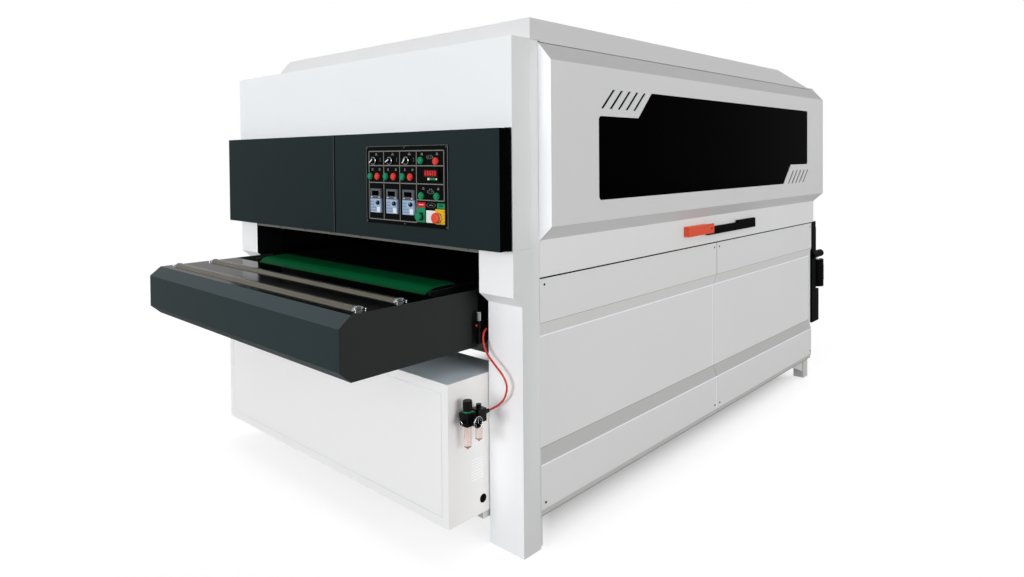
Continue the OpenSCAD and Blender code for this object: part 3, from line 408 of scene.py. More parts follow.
# lit segments of the height display
def digitRed():
    tree, look = newMaterial("digitRed")
    glow = placeGroup(tree, "tone", Color=linear(226, 40, 40), Scale=90.0, Amount=0.15)
    feedAll(tree, look, Base_Color=glow["Color"], Emission_Color=glow["Color"], Emission_Strength=0.25)


paint("whitePaint", (238, 241, 243), dust=0.1, specular=0.25)
# a lighter copy of the white paint for faces that look to the front: painted light
paint("frontPaint", (247, 248, 250), dust=0.06, specular=0.25)
# a darker copy of the white paint for faces that look to the right: painted shade
paint("sideShadePaint", (214, 215, 215), dust=0.1)
paint("boxPaint", (252, 252, 252), dust=0.1)
# a darker copy of the box paint for its side: painted shade
paint("boxSideShadePaint", (239, 238, 237), dust=0.12)
# a pale blue copy of the box paint for its top: painted shade under the table
paint("boxTopShadeTint", (232, 246, 255), tone=0.1)
paint("roofPaint", (221, 221, 222))
# a darker copy of the roof paint for faces to the right: painted shade
paint("roofSidePaint", (201, 201, 201))
paint("sidePaint", (222, 223, 222), dust=0.1)
# copies of the side paint for the pressed recess: a little lighter on its flat as painted light, darker on
# its slopes and under the foot as painted shade
paint("recessFlatLitPaint", (224, 225, 224), dust=0.1)
paint("recessUpperShadePaint", (212, 212, 211), dust=0.1)
paint("recessLowerShadePaint", (194, 194, 193), dust=0.1)
paint("hoodPaint", (210, 211, 210))
paint("hoodStripPaint", (226, 227, 226))
# copies of the hood paint: darker for faces that look up as painted shade, lighter for faces that look down
# as painted light
paint("hoodTopShadePaint", (188, 188, 188))
paint("hoodUnderLitPaint", (216, 216, 216))
paint("framePaint", (208, 209, 208), dust=0.3)
# the grey of the fascia's lip, also drawn as a painted shadow line along the side panels' foot
paint("lipPaint", (112, 112, 106), tone=0.3, wear=0.4)
paint("cabinetPaint", (28, 40, 42), roughness=0.55, worn=(80, 88, 90), wear=0.25, specular=0.1, grain=0.35)
# a near black copy of the cabinet paint for the right door's end face: painted shade
paint("cabinetEnd", (1, 2, 2), roughness=0.6, worn=(40, 44, 46), wear=0.15, specular=0.01)
paint("tablePaint", (41, 53, 55), worn=(120, 128, 128), wear=0.25, specular=0.12)
# a lighter copy of the table paint for the slanted nose: painted light
paint("chamferLitPaint", (64, 76, 79), worn=(130, 138, 138), wear=0.25, specular=0.12)
paint("tableSidePaint", (43, 46, 45), roughness=0.5, worn=(110, 116, 116), wear=0.25, specular=0.08)
paint("deckPaint", (6, 8, 8), roughness=0.13, worn=(70, 72, 72), wear=0.3, grain=0.06, specular=0.08)
paint("bedPaint", (12, 14, 15), roughness=0.5, specular=0.15)
metal("rollerSteel", (142, 137, 125), 0.14, 0.34, 6.0, 700.0, 0.3)
metal("brightSteel", (212, 214, 216), 0.08, 0.22)
metal("castIron", (88, 90, 92), 0.45, 0.6, 300.0, 300.0)
paint("motorPaint", (58, 88, 116), roughness=0.4)
paint("insideDark", (120, 122, 122), roughness=0.6)
# black for inner faces of the throat and body: painted shade
paint("insideShadeBlack", (10, 11, 12), roughness=0.7, specular=0.05, wear=0.05)
plastic("paneBlack", (1, 1, 2), 0.12, 0.01, 0.004)
plastic("panelBlack", (3, 3, 4), 0.5, 0.15, 0.06)
plastic("blackPlastic", (4, 5, 5), 0.42, 0.3, 0.18)
paint("machineBlack", (4, 5, 6), roughness=0.3, worn=(80, 82, 84), wear=0.3, specular=0.18)
paint("driveBlack", (2, 3, 3), roughness=0.5, specular=0.04, wear=0.08, worn=(50, 52, 54))
# painted shade along the side panels' bends, and the dark joint of their seam
plastic("bendGrey", (150, 150, 150), 0.5, 0.1, 0.1)
# painted highlights along the side panels' edges and seam
plastic("edgeLight", (246, 250, 255), 0.35, 0.1, 0.4)
# grey for printed outlines on the plate, and for the painted highlight beside the door seam
plastic("outlineGrey", (122, 126, 122), 0.5, 0.1, 0.1)
plastic("markGrey", (140, 144, 142), 0.5, 0.1, 0.1)
plastic("keypadTop", (88, 94, 100), 0.45, 0.3, 0.3)
plastic("keypadBlue", (160, 186, 214), 0.4, 0.3, 0.3)
plastic("keyGrey", (122, 144, 172), 0.45, 0.2, 0.3)
plastic("keyWhite", (232, 234, 236), 0.4, 0.2, 0.3)
plastic("screenRed", (110, 12, 15), 0.2, 0.02, 0.3)
plastic("signalGreen", (16, 136, 92), 0.3, 0.1, 0.3)
plastic("signalRed", (222, 62, 54), 0.3, 0.1, 0.3)
plastic("labelRed", (208, 32, 34), 0.45, 0.1, 0.2)
plastic("mushroomRed", (228, 78, 44), 0.32, 0.1, 0.35)
plastic("signalYellow", (222, 180, 26), 0.45, 0.15, 0.2)
plastic("latchRed", (228, 80, 46), 0.36, 0.2, 0.3)
plastic("hoseRed", (204, 46, 36), 0.3, 0.15, 0.4)
plastic("rubberBlack", (4, 4, 5), 0.7, 0.5, 0.05)
plastic("electricsGrey", (150, 154, 156), 0.5, 0.3)
beltWeave()
bristles()
clearBowl()
digitRed()

print("stage: tools")
bodies = frame["record"]["behaviour"]["bodies"]
bodyOfNode = {node: owner for owner, members in bodies.items() for node in members}
sharpFrom = 30      # degrees between faces, from which an edge is bevelled
cadMerge = {"gap": 0.00002, "angle": 0.6}     # metres, degrees
rimDepth = 0.0001   # how far behind the foremost point the rim's edges may lie


def deselectAll():
    if bpy.context.object and bpy.context.object.mode != "OBJECT":
        bpy.ops.object.mode_set(mode="OBJECT")
    bpy.ops.object.select_all(action="DESELECT")


def pick(obj):
    deselectAll()
    obj.select_set(True)
    bpy.context.view_layer.objects.active = obj


def applyModifiers(obj):
    pick(obj)
    for modifier in list(obj.modifiers):
        bpy.ops.object.modifier_apply(modifier=modifier.name)


def applyPlace():
    bpy.ops.object.transform_apply(location=True, rotation=True, scale=True)


def bevelEdges(obj, width, segments):
    modifier = obj.modifiers.new("softEdge", "BEVEL")
    modifier.width = width
    modifier.segments = segments
    modifier.limit_method = "ANGLE"
    modifier.angle_limit = math.radians(sharpFrom)
    modifier.harden_normals = False
    applyModifiers(obj)


# place held in the mesh, name, smooth shading, finish, and the body it rides on
def settle(obj, name, body, finish, smooth=30):
    pick(obj)
    applyPlace()
    obj.name = name
    obj.data.name = name
    bpy.ops.object.shade_smooth_by_angle(angle=math.radians(smooth))
    flat = obj.modifiers.new("evenFlats", "WEIGHTED_NORMAL")
    flat.keep_sharp = True
    flat.weight = 80
    applyModifiers(obj)
    obj.data.materials.clear()
    obj.data.materials.append(finishes[finish])
    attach(obj, body)
    return obj


# a block with rounded edges, by its middle and its size
def roundedBlock(centre, size, bevel):
    deselectAll()
    bpy.ops.mesh.primitive_cube_add(size=1, location=centre)
    obj = bpy.context.object
    obj.scale = size
    applyPlace()
    if bevel:
        bevelEdges(obj, bevel, 2)
    return obj


def blockPiece(name, low, high, body, finish, bevel):
    centre = [(a + b) / 2 for a, b in zip(low, high)]
    return settle(roundedBlock(centre, [b - a for a, b in zip(low, high)], bevel), name, body, finish)


axisTurn = {"x": (0, math.pi / 2, 0), "y": (-math.pi / 2, 0, 0), "z": (0, 0, 0)}
ringTurn = {"x": (math.pi / 2, 0, math.pi / 2), "y": (math.pi / 2, 0, 0)}
axisVector = {"x": Vector((1, 0, 0)), "y": Vector((0, 1, 0)), "z": Vector((0, 0, 1))}


# a turned rod from a point along an axis
def rodPiece(name, start, axis, radius, length, finish, body="machine", bevel=0.001, segments=2, sides=40,
             smooth=40):
    deselectAll()
    centre = Vector(start) + axisVector[axis] * length / 2
    bpy.ops.mesh.primitive_cylinder_add(vertices=sides, radius=radius, depth=length, location=centre,
                                        rotation=axisTurn[axis])
    obj = bpy.context.object
    applyPlace()
    if bevel:
        bevelEdges(obj, bevel, segments)
    return settle(obj, name, body, finish, smooth)


# an oval or round ring that faces along an axis
def ringPiece(name, centre, axis, radii, thick, finish, body="machine"):
    deselectAll()
    bpy.ops.mesh.primitive_torus_add(major_segments=48, minor_segments=10, major_radius=1,
                                     minor_radius=thick / max(radii), location=(0, 0, 0))
    obj = bpy.context.object
    obj.scale = (*radii, max(radii))
    applyPlace()
    obj.rotation_euler = ringTurn[axis]
    obj.location = centre
    return settle(obj, name, body, finish, smooth=60)


# several shaped parts with the finishes they have become one piece
def joinPieces(name, parts):
    pick(parts[0])
    for part in parts:
        part.select_set(True)
    bpy.ops.object.join()
    joined = bpy.context.object
    joined.name = name
    joined.data.name = name


# thin marks on a face that looks to the front, each given as left, low, right, high in millimetres
def frontMarks(name, marks, face, thick, body, finish, bevel=0.0):
    joinPieces(name, [
        blockPiece(name, (left * mm, face - thick, low * mm), (right * mm, face, high * mm),
                   body, finish, bevel) for left, low, right, high in marks])


# rounds the rim that faces the viewer and leaves the rest sharp
def roundFront(obj, width):
    pick(obj)
    rim = min(vertex.co.y for vertex in obj.data.vertices) + rimDepth
    bpy.ops.object.mode_set(mode="EDIT")
    bpy.ops.mesh.select_mode(type="EDGE")
    bpy.ops.mesh.select_all(action="DESELECT")
    bpy.ops.object.mode_set(mode="OBJECT")
    for edge in obj.data.edges:
        edge.select = all(obj.data.vertices[index].co.y < rim for index in edge.vertices)
    bpy.ops.object.mode_set(mode="EDIT")
    bpy.ops.mesh.bevel(offset=width, segments=4, affect="EDGES")
    bpy.ops.object.mode_set(mode="OBJECT")


# bed_frame becomes bedFrame
def pieceName(node):
    words = node.split("_")
    return words[0] + "".join(word.title() for word in words[1:])


# the CAD shape with merged faces and softened edges, in place of the node
def refine(node, finish, bevel=0.0012, segments=2, front=0, name=None):
    source = nodes[node]
    pick(source)
    copy = source.copy()
    copy.data = source.data.copy()
    scene.collection.objects.link(copy)
    matrix = source.matrix_world.copy()
    copy.parent = None
    copy.matrix_world = matrix
    pick(copy)
    bpy.ops.object.mode_set(mode="EDIT")
    bpy.ops.mesh.select_all(action="SELECT")
    bpy.ops.mesh.remove_doubles(threshold=cadMerge["gap"])
    bpy.ops.mesh.dissolve_limited(angle_limit=math.radians(cadMerge["angle"]))
    bpy.ops.object.mode_set(mode="OBJECT")
    applyPlace()
    if bevel:
        bevelEdges(copy, bevel, segments)
    if front:
        roundFront(copy, front)
    settle(copy, name or pieceName(node), bodyOfNode[node], finish)
    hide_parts(node)
    return copy


# faces that pass the test, given their centre and outward direction, take another finish
def repaint(obj, finish, test):
    obj.data.materials.append(finishes[finish])
    slot = len(obj.data.materials) - 1
    for face in obj.data.polygons:
        if test(face.center, face.normal):
            face.material_index = slot


# a mesh cut by a level plane, so that its faces end there
def cutLevel(obj, height):
    mesh = bmesh.new()
    mesh.from_mesh(obj.data)
    bmesh.ops.bisect_plane(mesh, geom=mesh.verts[:] + mesh.edges[:] + mesh.faces[:],
                           plane_co=(0, 0, height), plane_no=(0, 0, 1))
    mesh.to_mesh(obj.data)
    mesh.free()


print("stage: air hose")
hose = {
    "diameter": 0.008,
    # the same route as in the solids, in millimetres from the front of the posts
    "route": [(925, -58, 551), (927, -47, 552), (931, -38, 555), (940, -31, 561), (952, -27, 569),
              (965, -26, 580), (978, -27, 592), (990, -29, 606), (999, -31, 621), (1006, -33, 638),
              (1009, -34, 656), (1005, -35, 674), (995, -36, 690), (981, -36, 704), (965, -36, 716),
              (948, -36, 729), (930, -35, 742), (913, -34, 755), (899, -33, 770), (889, -32, 787),
              (883, -31, 803), (878, -28, 818), (874, -21, 831), (870, -11, 842), (869, 0, 848)],
}


def makeHose():
    points = [Vector((x * mm, y * mm + benchY, z * mm)) for x, y, z in hose["route"]]
    curve = bpy.data.curves.new("airHose", "CURVE")
    curve.dimensions = "3D"
    curve.bevel_depth = hose["diameter"] / 2
    curve.bevel_resolution = 5
    curve.resolution_u = 4
    curve.use_fill_caps = True
    spline = curve.splines.new("BEZIER")
    spline.bezier_points.add(len(points) - 1)
    for point, place in zip(spline.bezier_points, points):
        point.co = place
        point.handle_left_type = point.handle_right_type = "AUTO"
    obj = bpy.data.objects.new("airHose", curve)
    scene.collection.objects.link(obj)
    curve.materials.append(finishes["hoseRed"])
    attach(obj, bodyOfNode["air_hose"])
    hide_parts("air_hose")


makeHose()

print("stage: sheet metal body")
square = 0.8        # share of an axis in a face's direction, from which the face looks that way
sheet = {
    "postInner": 0.880,
    "throat": 0.882,
    "postOuter": 1,
    "boxTop": 0.690,        # above this the inner faces of the posts are painted black as the shade of the throat
    "lipTop": 1.1745,
    "stripTop": 1.199,
    # the pressed recess of the side panels: heights of its slopes and of its flat
    "recessUpper": (0.75, 0.95),
    "recessLower": (0.25, 0.5),
    "recessFlat": (0.45, 0.75),
    "foot": 0.16,
    "slope": 0.15,
    "level": 0.1,
    "inward": 0.3,
    "bulge": 0.4,       # how steeply the slopes of the side door's bulge look up or down
    "bulgeFront": -0.6,
}


def looksRight(centre, facing):
    return facing.x > square


def within(value, limits):
    return limits[0] < value < limits[1]


# the posts: front faces in the lighter copy as painted light, faces to the right in the darker copy as
# painted shade, and inner faces above the box painted black as the shade of the throat
posts = refine("front_posts", "frontPaint")
cutLevel(posts, sheet["boxTop"])
repaint(posts, "sideShadePaint", lambda centre, facing: facing.x > square and centre.x > sheet["postOuter"])
repaint(posts, "insideShadeBlack", lambda centre, facing: abs(facing.x) > square and centre.z > sheet["boxTop"]
        and abs(centre.x) < sheet["throat"])
# the fascia's faces to the right take the darker copy, painted shade
fascia = refine("fascia", "whitePaint")
repaint(fascia, "sideShadePaint", looksRight)
repaint(fascia, "lipPaint", lambda centre, facing: centre.z < sheet["lipTop"]
        and abs(centre.x) < sheet["postInner"])
# the roof's faces to the right take the darker copy, painted shade
repaint(refine("roof_cover", "roofPaint", bevel=0.002), "roofSidePaint", looksRight)
# the box's side takes the darker copy and its top the pale blue copy, both painted shade
box = refine("base_box", "boxPaint", name="frontBox")
repaint(box, "boxSideShadePaint", looksRight)
repaint(box, "boxTopShadeTint", lambda centre, facing: facing.z > square)
# the side panels: inward faces painted black as shade, the recess's slopes and the foot's underside in darker
# copies as painted shade, the recess's flat in a lighter copy as painted light
panels = refine("side_panels", "sidePaint")
repaint(panels, "insideShadeBlack", lambda centre, facing: facing.x * centre.x < 0
        and abs(facing.x) > sheet["inward"])
repaint(panels, "recessUpperShadePaint", lambda centre, facing: facing.z < -sheet["slope"]
        and within(centre.z, sheet["recessUpper"]))
repaint(panels, "recessLowerShadePaint", lambda centre, facing: facing.z > sheet["slope"]
        and within(centre.z, sheet["recessLower"]))
repaint(panels, "recessLowerShadePaint", lambda centre, facing: facing.z < -sheet["slope"]
        and centre.z < sheet["foot"])
repaint(panels, "recessFlatLitPaint", lambda centre, facing: abs(facing.z) < sheet["level"]
        and within(centre.z, sheet["recessFlat"]))
# the side door and drive cover: faces that look up take the darker copy as painted shade, faces that look
# down and the front ends take lighter copies as painted light; the strip along the foot is lighter
for node, name in (("side_door_right", "sideDoor"), ("side_cover_left", "driveSideCover")):
    hood = refine(node, "hoodPaint", name=name)
    repaint(hood, "hoodTopShadePaint", lambda centre, facing: facing.z > sheet["bulge"])
    repaint(hood, "hoodUnderLitPaint", lambda centre, facing: facing.z < -sheet["bulge"])
    repaint(hood, "hoodStripPaint", lambda centre, facing: centre.z < sheet["stripTop"])
    repaint(hood, "frontPaint", lambda centre, facing: facing.y < sheet["bulgeFront"])

# thin strips beside the machine: reach from the middle, height, run behind the post fronts, and finish. Most
# are painted: highlights along the edges of the slopes and the seam, shade lines along the bends and the
# foot; the rest are a seal strip and dark joints
sideRun = (0.103, 2.972)
seamRun = (1.5636, 1.5722)
sideLines = {
    "Seal": ((1.046, 1.0596), (1.9635, 1.9708), (0.112, 3.0), "roofSidePaint"),
    "Gap": ((1.0585, 1.0604), (1.0506, 1.0562), sideRun, "rubberBlack"),
    "UpperBendShade": ((1.0592, 1.0603), (0.8782, 0.8798), sideRun, "bendGrey"),
    "UpperHighlight": ((1.0376, 1.0402), (0.8182, 0.8240), sideRun, "edgeLight"),
    "LowerBendShade": ((1.0376, 1.0386), (0.3792, 0.3810), sideRun, "bendGrey"),
    "LowerLight": ((1.0588, 1.0604), (0.3200, 0.3262), sideRun, "edgeLight"),
    "SeamLight": ((1.0376, 1.0384), (0.3830, 0.8180), seamRun, "edgeLight"),
    "SeamLow": ((1.0592, 1.0603), (0.1500, 0.3214), seamRun, "edgeLight"),
    "Foot": ((1.0480, 1.0510), (0.1184, 0.1214), sideRun, "lipPaint"),
    "SeamDark": ((1.0592, 1.0603), (0.8800, 1.0530), (1.5722, 1.5766), "bendGrey"),
}
for side, prefix in ((1, "right"), (-1, "left")):
    for title, (reach, (low, high), (start, end), finish) in sideLines.items():
        left, right = sorted(side * edge for edge in reach)
        corners = (left, benchY + start, low), (right, benchY + end, high)
        blockPiece(prefix + title, *corners, "machine", finish, 0)
refine("rear_panel", "sidePaint")
refine("base_frame", "framePaint", bevel=0.003)
# the upper frame seen through the throat in the same black: painted shade
refine("top_frame", "insideShadeBlack", bevel=0.002, name="upperFrame")
refine("cabinet_shell", "insideDark")
refine("cabinet_door_left", "cabinetPaint", bevel=0.0014)
# the right door's end face takes the near black copy, painted shade
repaint(refine("cabinet_door_right", "cabinetPaint", bevel=0.0014), "cabinetEnd", looksRight)
doorSeams = {
    "face": benchY - 0.118, "low": 1179, "high": 1627,
    # left, right, thickness, door and finish
    "marks": {
        "doorSeamRight": (2.2, 6, 0.0006, "cabinet_door_right", "rubberBlack"),
        "doorSeamLeft": (-4.6, -2.2, 0.0006, "cabinet_door_left", "rubberBlack"),
        # a grey line on the left door beside the seam: painted highlight of the door's edge
        "doorSeamHighlight": (-7, -5.4, 0.0005, "cabinet_door_left", "outlineGrey"),
    },
}
for name, (left, right, *look) in doorSeams["marks"].items():
    frontMarks(name, [(left, doorSeams["low"], right, doorSeams["high"])], doorSeams["face"], *look)
refine("door_window", "paneBlack", bevel=0.001)

print("stage: infeed table and bed")
infeed = {
    "square": 0.9,      # share of an axis in a face's direction, as above
    "slant": 0.3,
    "deck": {"above": 0.9935, "half": 0.812},
    "rows": {"infeed_roller_front": -522, "infeed_roller_rear": -342},      # millimetres from the post fronts
    "rollerAxis": 0.983,
    "rollerEnd": 0.765,
    "collar": {"radius": 0.0262, "length": 0.014, "bevel": 0.002, "segments": 3},
    "bracket": {"before": 0.432, "reach": 0.13, "across": (0.7655, 0.79), "top": 0.9955},
    "boltX": 0.7755,
    "boltY": 0.021,     # before and behind the roller's axis
    "bolt": {"radius": 0.0042, "length": 0.0045, "bevel": 0.0008, "segments": 1, "sides": 6, "smooth": 20},
}
deck, bracket = infeed["deck"], infeed["bracket"]
collar, bolt = infeed["collar"], infeed["bolt"]
tables = refine("feed_tables", "tablePaint", bevel=0.0014)
repaint(tables, "deckPaint", lambda centre, facing: facing.z > infeed["square"]
        and centre.z > deck["above"] and abs(centre.x) < deck["half"])
# the slanted nose takes the lighter copy, painted light
repaint(tables, "chamferLitPaint", lambda centre, facing: facing.z > infeed["slant"]
        and facing.y < -infeed["slant"])
repaint(tables, "tableSidePaint", lambda centre, facing: abs(facing.x) > infeed["square"])
repaint(tables, "brightSteel", lambda centre, facing: centre.z > bracket["top"]
        and abs(centre.y - benchY + bracket["before"]) < bracket["reach"]
        and within(abs(centre.x), bracket["across"]))
refine("bed_frame", "bedPaint", bevel=0.001)
refine("conveyor_belt", "beltGripGreen", bevel=0)
for node, row in infeed["rows"].items():
    y = row * mm + benchY
    refine(node, "rollerSteel")
    joinPieces(pieceName(node) + "Collars", [
        rodPiece("ring", (start, y, infeed["rollerAxis"]), "x", finish="brightSteel", body=node, **collar)
        for start in (-infeed["rollerEnd"], infeed["rollerEnd"] - collar["length"])])
    joinPieces(pieceName(node) + "Bolts", [
        rodPiece("bolt", (x, y + step, bracket["top"]), "z", finish="brightSteel", body="bed", **bolt)
        for x in (-infeed["boltX"], infeed["boltX"]) for step in (-infeed["boltY"], infeed["boltY"])])

print("stage: hidden machinery")
for node, finish in {
    "cabinet_components": "electricsGrey", "door_hinges": "machineBlack", "lift_screws": "brightSteel",
    "lift_jacks": "castIron", "head_bearings": "castIron", "brush_motors": "motorPaint",
    "pressure_roller": "rubberBlack", "idle_drum": "brightSteel", "drive_drum": "brightSteel",
    "brush_roller_1": "brushFibre", "brush_roller_2": "brushFibre", "brush_roller_3": "brushFibre",
}.items():
    refine(node, finish, bevel=0.0008)

print("stage: control panel")
panelFace = benchY - 0.1213
keyFace = benchY - 0.1316
doorBody = "cabinet_door_right"
layers = {      # where the backs of thin marks lie
    "plate": panelFace + 0.0001,
    "oval": panelFace,
    "label": panelFace - 0.0006,
    "stopPlate": panelFace - 0.0009,
    "key": keyFace + 0.0002,
    "screen": keyFace - 0.0003,
    "dial": benchY - 0.1399,
}
panel = {       # in millimetres, and in shares of the plate's width and height
    "left": 254.4, "low": 1242, "width": 533, "height": 331,
    "line": 4.2,
    "columns": (275, 380, 489, 597),    # narrow cells, left edges and the last right edge
    "rows": (1551, 1490, 1417, 1260),
    "wide": {"left": 597, "right": 764, "rows": (1551, 1490, 1417, 1352)},
    "behindButton": (1426, 1462),       # the first line stops short of the button over it
    "trim": [(530, 1, 532.4, 330), (0.6, 1, 2, 330), (1, 329.2, 532, 330.4)],   # from the lower left corner
    "screws": [(262, 1565), (521, 1565), (780, 1565), (262, 1250), (521, 1250), (780, 1250)],
    "greens": [(0.062, 0.61), (0.266, 0.61), (0.478, 0.61), (0.696, 0.813), (0.702, 0.384), (0.878, 0.384)],
    "reds": [(0.156, 0.61), (0.366, 0.61), (0.572, 0.61), (0.870, 0.804)],
    "selectors": (0.111, 0.323, 0.531),
    # in metres: the raised rims of the buttons, and how thick the print on the plate and on labels is
    "bezel": {"reach": 0.0158, "proud": 0.0012},
    "print": 0.0003,
    "labelPrint": 0.0004,
}


def plateX(share):
    return panel["left"] + panel["width"] * share


def plateZ(share):
    return panel["low"] + panel["height"] * share


# on the raised rim of one of the buttons
def onBezel(centre, shares):
    bezel = panel["bezel"]
    return centre.y < panelFace - bezel["proud"] and any(
        math.hypot(centre.x - plateX(x) * mm, centre.z - plateZ(z) * mm) < bezel["reach"] for x, z in shares)


def shifted(marks, x, z):
    return [(x + left, z + low, x + right, z + high) for left, low, right, high in marks]


def panelMarks(name, marks, layer, thick, finish, bevel=0.0):
    frontMarks(name, marks, layers[layer], thick, doorBody, finish, bevel)


plate = refine("control_plate", "panelBlack", bevel=0.0008)
repaint(plate, "signalGreen", lambda centre, facing: onBezel(centre, panel["greens"]))
repaint(plate, "signalRed", lambda centre, facing: onBezel(centre, panel["reds"]))
for number in (1, 2, 3):
    refine(f"drive_dial_{number}", "blackPlastic", bevel=0.001)
    refine(f"start_button_{number}", "signalGreen", bevel=0.0015)
    refine(f"stop_button_{number}", "signalRed", bevel=0.0015)
for node, finish in (("feed_start_button", "signalGreen"), ("feed_stop_button", "signalRed"),
                     ("bed_up_button", "signalGreen"), ("bed_down_button", "signalGreen")):
    refine(node, finish, bevel=0.0015)
refine("main_start_button", "signalGreen", bevel=0, front=0.003)
refine("emergency_stop", "mushroomRed", bevel=0, front=0.005)


def uprightBar(x, low, high):
    return (x - panel["line"] / 2, low, x + panel["line"] / 2, high)


def levelBar(z, left, right):
    return (left, z - panel["line"] / 2, right, z + panel["line"] / 2)


columns, rows, wide = panel["columns"], panel["rows"], panel["wide"]
stopped, resumed = panel["behindButton"]
bars = [uprightBar(columns[0], rows[-1], stopped), uprightBar(columns[0], resumed, rows[0])]
bars += [uprightBar(x, rows[-1], rows[0]) for x in columns[1:]]
bars += [levelBar(z, columns[0], columns[-1]) for z in rows]
bars += [levelBar(z, wide["left"], wide["right"]) for z in wide["rows"]]
bars.append(uprightBar(wide["right"], wide["rows"][-1], wide["rows"][0]))
panelMarks("cellLines", bars, "plate", panel["print"], "outlineGrey")
trim = shifted(panel["trim"], panel["left"], panel["low"])
panelMarks("plateEdgeTrim", trim, "plate", panel["print"], "outlineGrey")

# small blocks that spell nothing: each row gives the lengths of its blocks and of the gaps between them
writing = {
    "pitch": 5.5, "half": 1.6,
    "besideSelector": (15, 1541, [(3, 1, 4), (5, 1, 3, 1, 5)]),
    "selectorScale": (42, 1520, [(3,), (1.4,), (3,)]),
    "besideButton": (13, 1476, [(4, 1, 5), (5, 1.2, 4)]),
    "wideCells": [(632, 1540), (724, 1540), (640, 1402), (730, 1402)],
    "wideCell": [(4, 1, 4), (6, 1.2, 5)],
    "display": (640, 1440, [(3, 1, 5), (6,)]),
}


def smallWriting(x, z, rows):
    marks = []
    for row, pattern in enumerate(rows):
        along = x - sum(pattern) / 2
        level = z - row * writing["pitch"]
        for index, step in enumerate(pattern):
            if index % 2 == 0:
                marks.append((along, level - writing["half"], along + step, level + writing["half"]))
            along += step
    return marks


marks = []
for share in panel["selectors"]:
    for offset, z, rows in (writing["besideSelector"], writing["selectorScale"]):
        marks += smallWriting(plateX(share) + offset, z, rows)
offset, z, rows = writing["besideButton"]
for share, _ in panel["greens"][:3] + panel["reds"][:3]:
    marks += smallWriting(plateX(share) + offset, z, rows)
for place in writing["wideCells"]:
    marks += smallWriting(*place, writing["wideCell"])
marks += smallWriting(*writing["display"])
panelMarks("panelWriting", marks, "plate", panel["print"], "markGrey")

pictograms = {
    "symbols": [(681, 1525), (684, 1386)],
    "symbolOvals": [((0.019, 0.0075), 0.0013, "markGrey"), ((0.010, 0.0035), 0.0011, "outlineGrey")],
    "dots": [(678, 1397), (690, 1397)],
    "dot": (1.6, 2, 0.0008),        # half width, half height, and thickness in metres
    "lowerOval": (686, 1333, (0.026, 0.0095), 0.0011, "outlineGrey"),
    "writing": (686, 1333, [(7, 1.5, 5, 1.5, 7)]),
    "proud": 0.0004,
}


def ovalMark(x, z, radii, thick, finish):
    centre = (x * mm, panelFace - pictograms["proud"], z * mm)
    return ringPiece("pictogram", centre, "y", radii, thick, finish, doorBody)


parts = [ovalMark(*place, *look) for place in pictograms["symbols"] for look in pictograms["symbolOvals"]]
wide, high, thick = pictograms["dot"]
for x, z in pictograms["dots"]:
    low = ((x - wide) * mm, panelFace - thick, (z - high) * mm)
    far = ((x + wide) * mm, panelFace, (z + high) * mm)
    parts.append(blockPiece("pictogram", low, far, doorBody, "markGrey", 0))
parts.append(ovalMark(*pictograms["lowerOval"]))
joinPieces("panelPictograms", parts)
panelMarks("ovalWriting", smallWriting(*pictograms["writing"]), "oval", panel["labelPrint"], "markGrey")
screwHead = {"radius": 0.0042, "length": 0.0024, "bevel": 0.0008, "sides": 20}
screwProud = 0.0022
joinPieces("panelScrewHeads", [
    rodPiece("screw", (x * mm, panelFace - screwProud, z * mm), "y", finish="castIron", body=doorBody,
             **screwHead) for x, z in panel["screws"]])

keypad = {
    "shares": (0.146, 0.356, 0.560), "middle": 1340,
    "screenLow": 1.349, "screenHigh": 1.41,     # in metres
    # marks from the middle, thickness and finish
    "marks": {
        "keypadScreens": ([(-24, 22, 24, 42), (-31, 8.5, 31, 10.5)], 0.0006, "paneBlack"),
        "keypadKeys": ([(column * 13 - 31, -9 - row * 12, column * 13 - 22, -2 - row * 12)
                        for row in range(4) for column in range(2 if row < 2 else 3)], 0.0007, "keyGrey"),
        "keypadLabels": ([(12, -48, 32, -27)], 0.0005, "keyWhite"),
        "keypadLatches": ([(-30, 13, -21, 17), (21, 13, 30, 17)], 0.0005, "keyWhite"),
    },
    "pointer": [(20.5, -7, 22.1, -1)],
}

pads = refine("panel_displays", "keypadBlue", bevel=0.0015)
cutLevel(pads, keypad["screenLow"])
repaint(pads, "keypadTop", lambda centre, facing: centre.z > keypad["screenLow"])
repaint(pads, "panelBlack", lambda centre, facing: centre.z > keypad["screenHigh"])
middles = [(plateX(share), keypad["middle"]) for share in keypad["shares"]]
for name, (marks, *look) in keypad["marks"].items():
    panelMarks(name, [mark for middle in middles for mark in shifted(marks, *middle)], "key", *look)
for number, middle in enumerate(middles, 1):
    frontMarks(f"dialPointer{number}", shifted(keypad["pointer"], *middle), layers["dial"],
               panel["labelPrint"], f"dial_{number}", "keyWhite")

segments = {"top": (0, 9, 6, 10.5), "middle": (0, 4.5, 6, 6), "bottom": (0, 0, 6, 1.5),
            "lowLeft": (0, 0, 1.5, 5), "lowRight": (4.5, 0, 6, 5),
            "highLeft": (0, 5, 1.5, 10.5), "highRight": (4.5, 5, 6, 10.5)}
digits = {"0": ("top", "bottom", "lowLeft", "lowRight", "highLeft", "highRight"),
          "2": ("top", "middle", "bottom", "highRight", "lowLeft"),
          "5": ("top", "middle", "bottom", "highLeft", "lowRight")}
display = {
    "middle": (694.7, 1455.5), "reading": "05020", "grow": 1.5, "first": -33, "step": 14.2, "low": -3,
    "screen": [(-37, -8, 37, 18)],
    "screenThick": 0.0006, "keyThick": 0.0012, "keyBevel": 0.0004,      # in metres
    "keysPale": [(-16, -22, -5, -13), (33, -21, 40, -14)],
    "keysGreen": [(-3, -22, 12, -13), (14, -22, 29, -13)],
}

